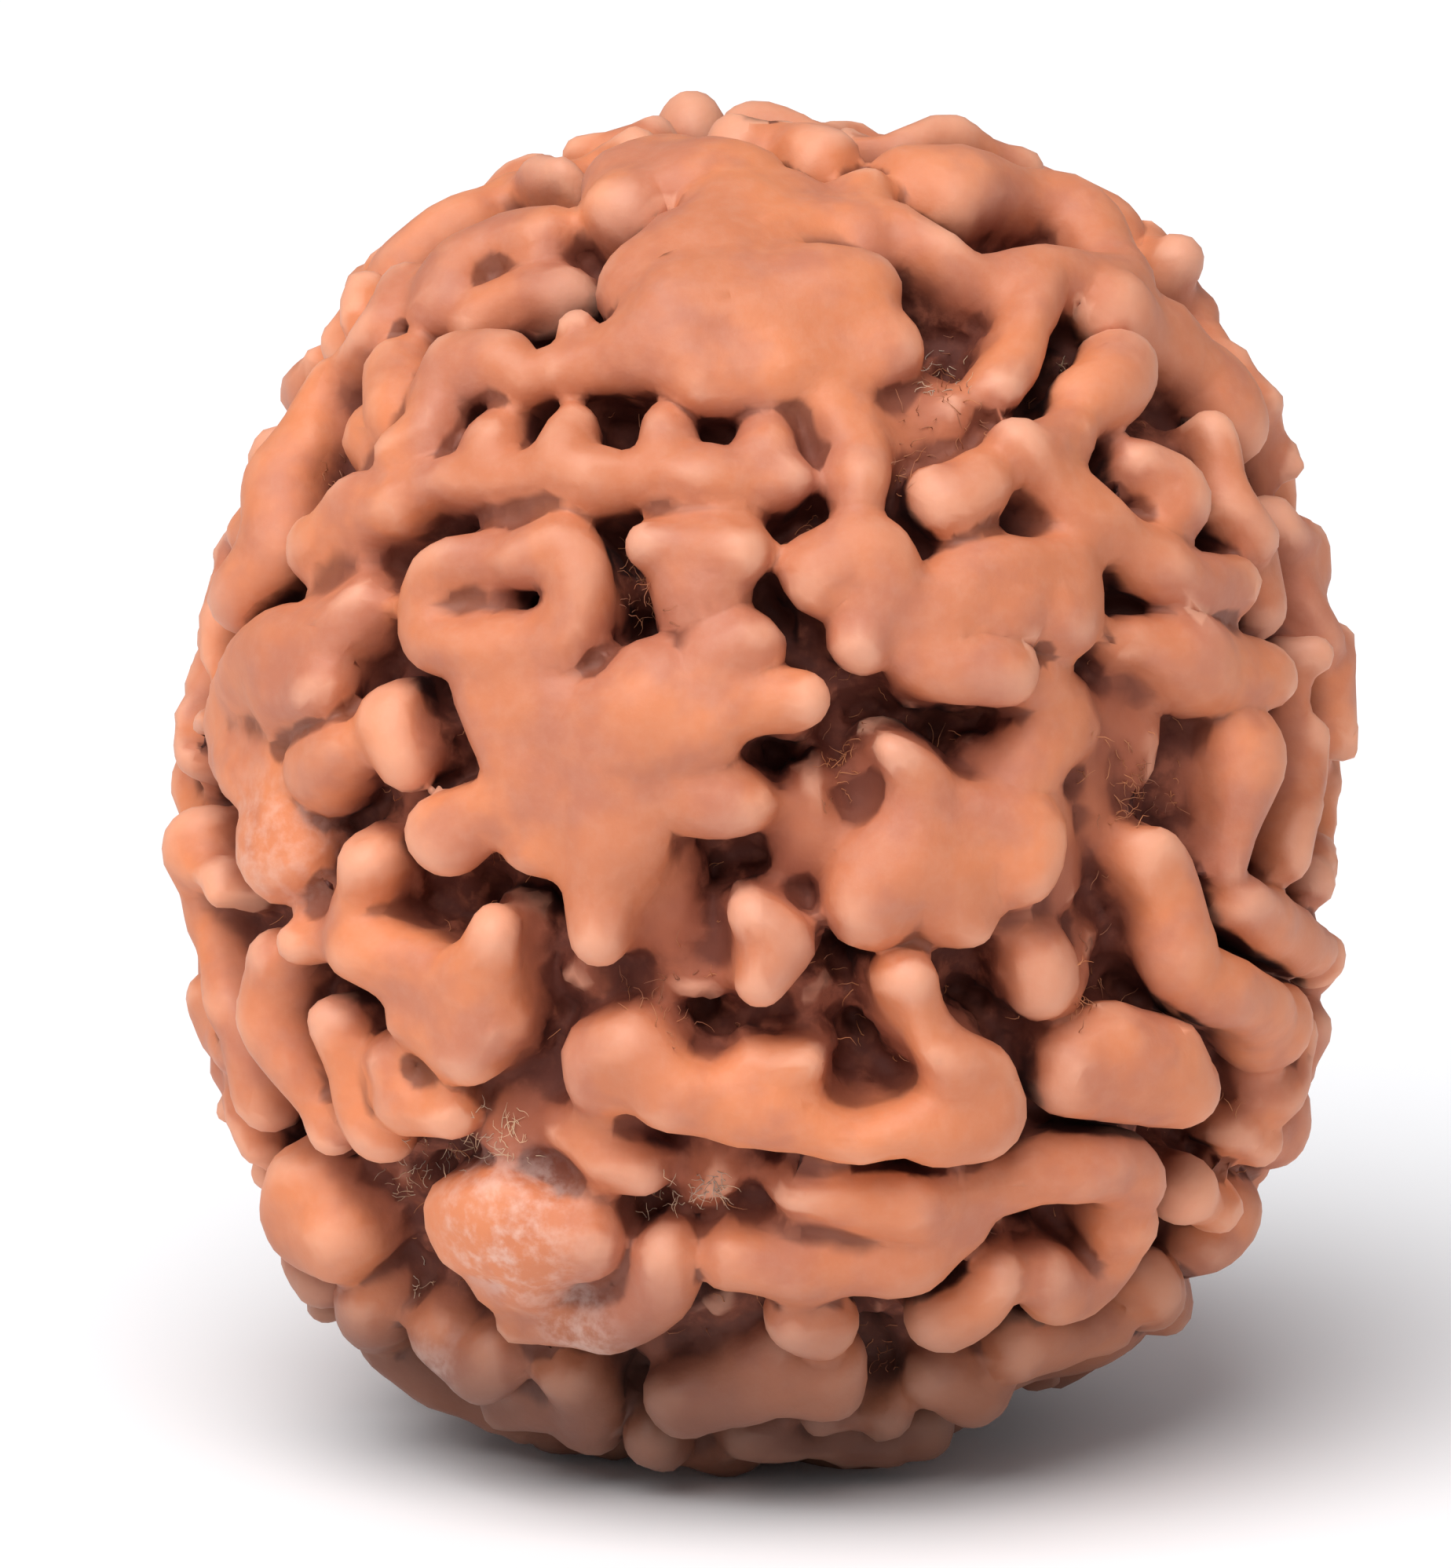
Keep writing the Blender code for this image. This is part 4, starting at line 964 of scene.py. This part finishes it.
def stone_finish():
    """The bead's skin: satin and orange-brown on the tops, with painted red-brown shade down the flanks and
    into the furrows, and painted shade towards the bottom.
    """
    finish = Finish("rudraksha")
    place = finish.place()
    depth = finish.attribute("depth")
    broad = finish.noise(place, BROAD, 2.0)
    patches = finish.noise(place, PATCHES, 3.0, 0.55)
    grain = finish.noise(place, GRAIN, 4.0, 0.6)
    # Deeper down a ridge's flanks the colour turns red-brown: painted shade
    down = finish.between(depth + (patches - 0.5) * 0.4, *FLANK_SHADE_RANGE)

    colour = top_colour(finish, broad, patches, grain)
    colour = finish.mix(down * FLANK_SHADE_SHARE, colour, SIDE_SHADE)
    colour = with_crevices(finish, colour, depth, patches, grain)
    # Darker towards the bottom of the bead: painted shade, where the lower end gets less light
    low = finish.between(finish.height(place) + (broad - 0.5) * LOW_SHADE_SWAY, *LOW_SHADE_RANGE)
    colour = finish.mix(low * LOW_SHADE_SHARE, colour, LOW_SHADE)
    finish.set(Base_Color=with_bloom(finish, colour, place, patches, grain))

    rough = 0.46 + grain * 0.16 + down * 0.2
    finish.set(Roughness=rough, Metallic=0.0, Specular_IOR_Level=0.4)
    finish.set(Subsurface_Weight=0.06, Subsurface_Scale=0.5 * MM)
    finish.set(Subsurface_Radius=(1.0, 0.35, 0.15))

    fine = grain * 0.6 + finish.noise(place, FINEST, 2.0, 0.5) * 0.4
    values = {"Height": fine, "Strength": 0.25, "Distance": 0.06 * MM}
    finish.set(Normal=finish.node("ShaderNodeBump", {}, values, "Normal"))
    return finish.material


def top_colour(finish, broad, patches, grain):
    """The ridges' tops: orange-brown in broad patches, dusty in smaller ones, under a thin haze."""
    colour = finish.mix(finish.between(broad, *WARM_RANGE), TOP, WARM)
    colour = finish.mix(finish.between(patches, *DUSTY_RANGE) * DUSTY_SHARE, colour, DUSTY)
    return finish.mix(finish.between(grain, *HAZE_RANGE) * HAZE_SHARE, colour, BLOOM)


def with_crevices(finish, colour, depth, patches, grain):
    """Dried tissue in the furrows under painted shade, painted black-brown shade in the pits, painted dark
    shade in the creases and painted pale highlights on the rims.
    """
    openness = finish.attribute("open")
    edge = finish.attribute("edge")
    # The furrows' colour: patches of dried tissue among painted dark shade
    floor_patches = finish.between(grain + (patches - 0.5) * 0.6, *TISSUE_PATCHES)
    tissue = finish.mix(floor_patches, FURROW_SHADE, TISSUE)
    # It covers a spot more the deeper and less open the spot is: painted shade
    tissue_and_shade_mask = finish.between(depth + (grain - 0.5) * 0.6 - openness * 0.8, *TISSUE_AND_SHADE_RANGE)
    colour = finish.mix(tissue_and_shade_mask * TISSUE_AND_SHADE_SHARE, colour, tissue)
    # Black-brown where little is open round a spot: painted shade in the pits
    dark = finish.between(openness + (grain - 0.5) * 0.14, *PIT_SHADE_RANGE)
    colour = finish.mix(dark, colour, PIT_SHADE)
    # Darker in hollow creases: painted shade
    colour = finish.mix(finish.between(edge, *CREASE_SHADE_RANGE) * CREASE_SHADE_SHARE, colour, FURROW_SHADE)
    # Paler on convex edges: painted highlight on the rims
    return finish.mix(finish.between(edge, *RIM_HIGHLIGHT_RANGE) * RIM_HIGHLIGHT_SHARE, colour, RIM_HIGHLIGHT)


def with_bloom(finish, colour, place, patches, grain):
    """Whitish flecks round the spots where the front has a bloom."""
    flecks = finish.between(grain + patches * 0.5, *FLECK_RANGE)
    for across, up, reach, strength in BLOOM_SPOTS:
        away = finish.distance(place, seen_at(across, up) + AXIS_AT)
        near = finish.between(away, reach * MM, BLOOM_CORE * reach * MM)
        colour = finish.mix(near * flecks * strength, colour, PALE)
    return colour


def make_bead():
    """The finer bead: floor and ridges fused, roughened, cut and given their finish."""
    form = bmesh.new()
    add_floor(form)
    for lift, samples in all_ridges():
        add_ridge(form, lift, samples)
    mesh = bpy.data.meshes.new("bead_stone")
    form.to_mesh(mesh)
    form.free()
    bead = bpy.data.objects.new("bead_stone", mesh)
    bpy.context.collection.objects.link(bead)
    fuse(bead)
    roughen(bead.data)
    reduce_facets(bead)
    cut(bead, "mouth_cutter", mouths)
    cut(bead, "ground_cutter", ground)
    mark_relief(bead.data)
    bead.data.transform(Matrix.Translation(AXIS_AT))
    bead.data.materials.clear()
    bead.data.materials.append(stone_finish())
    bead.data.shade_smooth()
    return bead


def tuft_roots(mesh, tree, rng, tufts):
    """Roots of the front's tufts down in its furrows: each a place on the stone and its normal there."""
    depth = mesh.attributes["depth"].data
    eye = CENTRE + AXIS_AT + VIEW_BACK * VIEW_DISTANCE
    roots = []
    for across, up, reach, count in tufts:
        for _ in range(count):
            spot = seen_at(across + rng.gauss(0, reach / 2), up + rng.gauss(0, reach / 2)) + AXIS_AT
            place, normal, face, _ = tree.ray_cast(eye, (spot - eye).normalized())
            if place is not None and depth[mesh.polygons[face].vertices[0]].value > TUFT_DEPTH:
                roots.append((place, normal))
    return roots


def furrow_roots(mesh, rng):
    """Roots scattered over the furrows on all sides."""
    depth = mesh.attributes["depth"].data
    openness = mesh.attributes["open"].data
    wanted = [
        v for v in mesh.vertices
        if depth[v.index].value > SCATTER_DEPTH and openness[v.index].value > SCATTER_OPEN
    ]
    chosen = rng.sample(wanted, min(SCATTERED, len(wanted)))
    return [(v.co.copy(), v.normal.copy()) for v in chosen]


def make_fibres(name, rng, roots, finish):
    """Short tapered fibres that curl up from their roots."""
    curve = bpy.data.curves.new(name, "CURVE")
    curve.dimensions = "3D"
    curve.bevel_depth = FIBRE_RADIUS
    curve.bevel_resolution = 0
    curve.use_fill_caps = True
    for root, normal in roots:
        line = curve.splines.new("POLY")
        line.points.add(FIBRE_STEPS - 1)
        way = (normal + any_way(rng) * FIBRE_LEAN).normalized()
        stride = rng.uniform(*FIBRE_LENGTHS) / (FIBRE_STEPS - 1)
        place = root - normal * FIBRE_RADIUS * 2
        for i, point in enumerate(line.points):
            point.co = (*place, 1)
            point.radius = 1 - FIBRE_TAPER * i / (FIBRE_STEPS - 1)
            place = place + way * stride
            way = (way + any_way(rng) * FIBRE_CURL - normal * FIBRE_DROOP).normalized()
    drawn = bpy.data.objects.new(name + "_lines", curve)
    bpy.context.collection.objects.link(drawn)
    shown = drawn.evaluated_get(bpy.context.evaluated_depsgraph_get())
    mesh = bpy.data.meshes.new_from_object(shown)
    bpy.data.objects.remove(drawn)
    mesh.materials.clear()
    mesh.materials.append(finish)
    fibres = bpy.data.objects.new(name, mesh)
    bpy.context.collection.objects.link(fibres)
    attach(fibres, "root")


def fibre_finish(name, dark, light):
    finish = Finish(name)
    tone = finish.noise(finish.place(), 0.9 * MM, 2.0)
    finish.set(Base_Color=finish.mix(finish.between(tone, 0.35, 0.65), dark, light))
    finish.set(Roughness=0.6, Metallic=0.0)
    return finish.material


def make_all_fibres(stone):
    """Pale and brown fibres of dried flesh, rooted in the stone's furrows."""
    tree = surface_tree(stone.data)
    rng = random.Random(SEED + 1)
    pale = tuft_roots(stone.data, tree, rng, PALE_TUFTS)
    brown = tuft_roots(stone.data, tree, rng, BROWN_TUFTS) + furrow_roots(stone.data, rng)
    make_fibres("pale_fibres", rng, pale, fibre_finish("pale_fibre", ASH, STRAW))
    make_fibres("brown_fibres", rng, brown, fibre_finish("brown_fibre", BARK, RUST))


def make_floor():
    form = bmesh.new()
    bmesh.ops.create_circle(form, cap_ends=True, segments=96, radius=STAGE_RADIUS)
    mesh = bpy.data.meshes.new("floor")
    form.to_mesh(mesh)
    form.free()
    floor = bpy.data.objects.new("floor", mesh)
    bpy.context.collection.objects.link(floor)
    finish = Finish("pale_floor")
    finish.set(Base_Color=(0.96, 0.96, 0.97, 1), Roughness=0.7)
    mesh.materials.append(finish.material)


def add_lamp(name, azimuth, elevation, spread, strength):
    """A large far lamp: its light comes from within half its spread, in degrees, of one direction."""
    data = bpy.data.lights.new(name, "SUN")
    data.angle = math.radians(spread)
    data.energy = strength
    lamp = bpy.data.objects.new(name, data)
    lamp.location = CENTRE + heading(azimuth, elevation) * VIEW_DISTANCE
    lamp.rotation_euler = heading(azimuth, elevation).to_track_quat("Z", "Y").to_euler()
    bpy.context.collection.objects.link(lamp)


def light_studio():
    """A soft key from high on the left, a faint front light and a pale sky."""
    add_lamp("key", -26, 56, 55, 3.2)
    add_lamp("front", 5, 30, 60, 0.15)
    bpy.context.scene.view_settings.view_transform = "Standard"
    world = bpy.data.worlds.new("studio")
    bpy.context.scene.world = world
    world.use_nodes = True
    sky = world.node_tree.nodes["Background"]
    sky.inputs["Color"].default_value = (0.95, 0.96, 1.0, 1)
    sky.inputs["Strength"].default_value = 0.32


def add_camera():
    """The camera at the eye that the front's ridges are drawn for."""
    data = bpy.data.cameras.new("camera")
    data.sensor_fit = "VERTICAL"
    data.sensor_height = SENSOR_HEIGHT
    data.lens = SENSOR_HEIGHT * VIEW_DISTANCE / FRAME_HEIGHT
    data.clip_start = 0.01
    camera = bpy.data.objects.new("camera", data)
    across, up = FRAME_CENTRE
    aim = CENTRE + AXIS_AT + VIEW_RIGHT * across + VIEW_UP * up
    camera.location = aim + VIEW_BACK * VIEW_DISTANCE
    camera.rotation_euler = VIEW_BACK.to_track_quat("Z", "Y").to_euler()
    bpy.context.collection.objects.link(camera)
    bpy.context.scene.camera = camera


add_camera()
light_studio()
make_floor()
stone = make_bead()
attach(stone, "root")
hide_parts("bead")
make_all_fibres(stone)
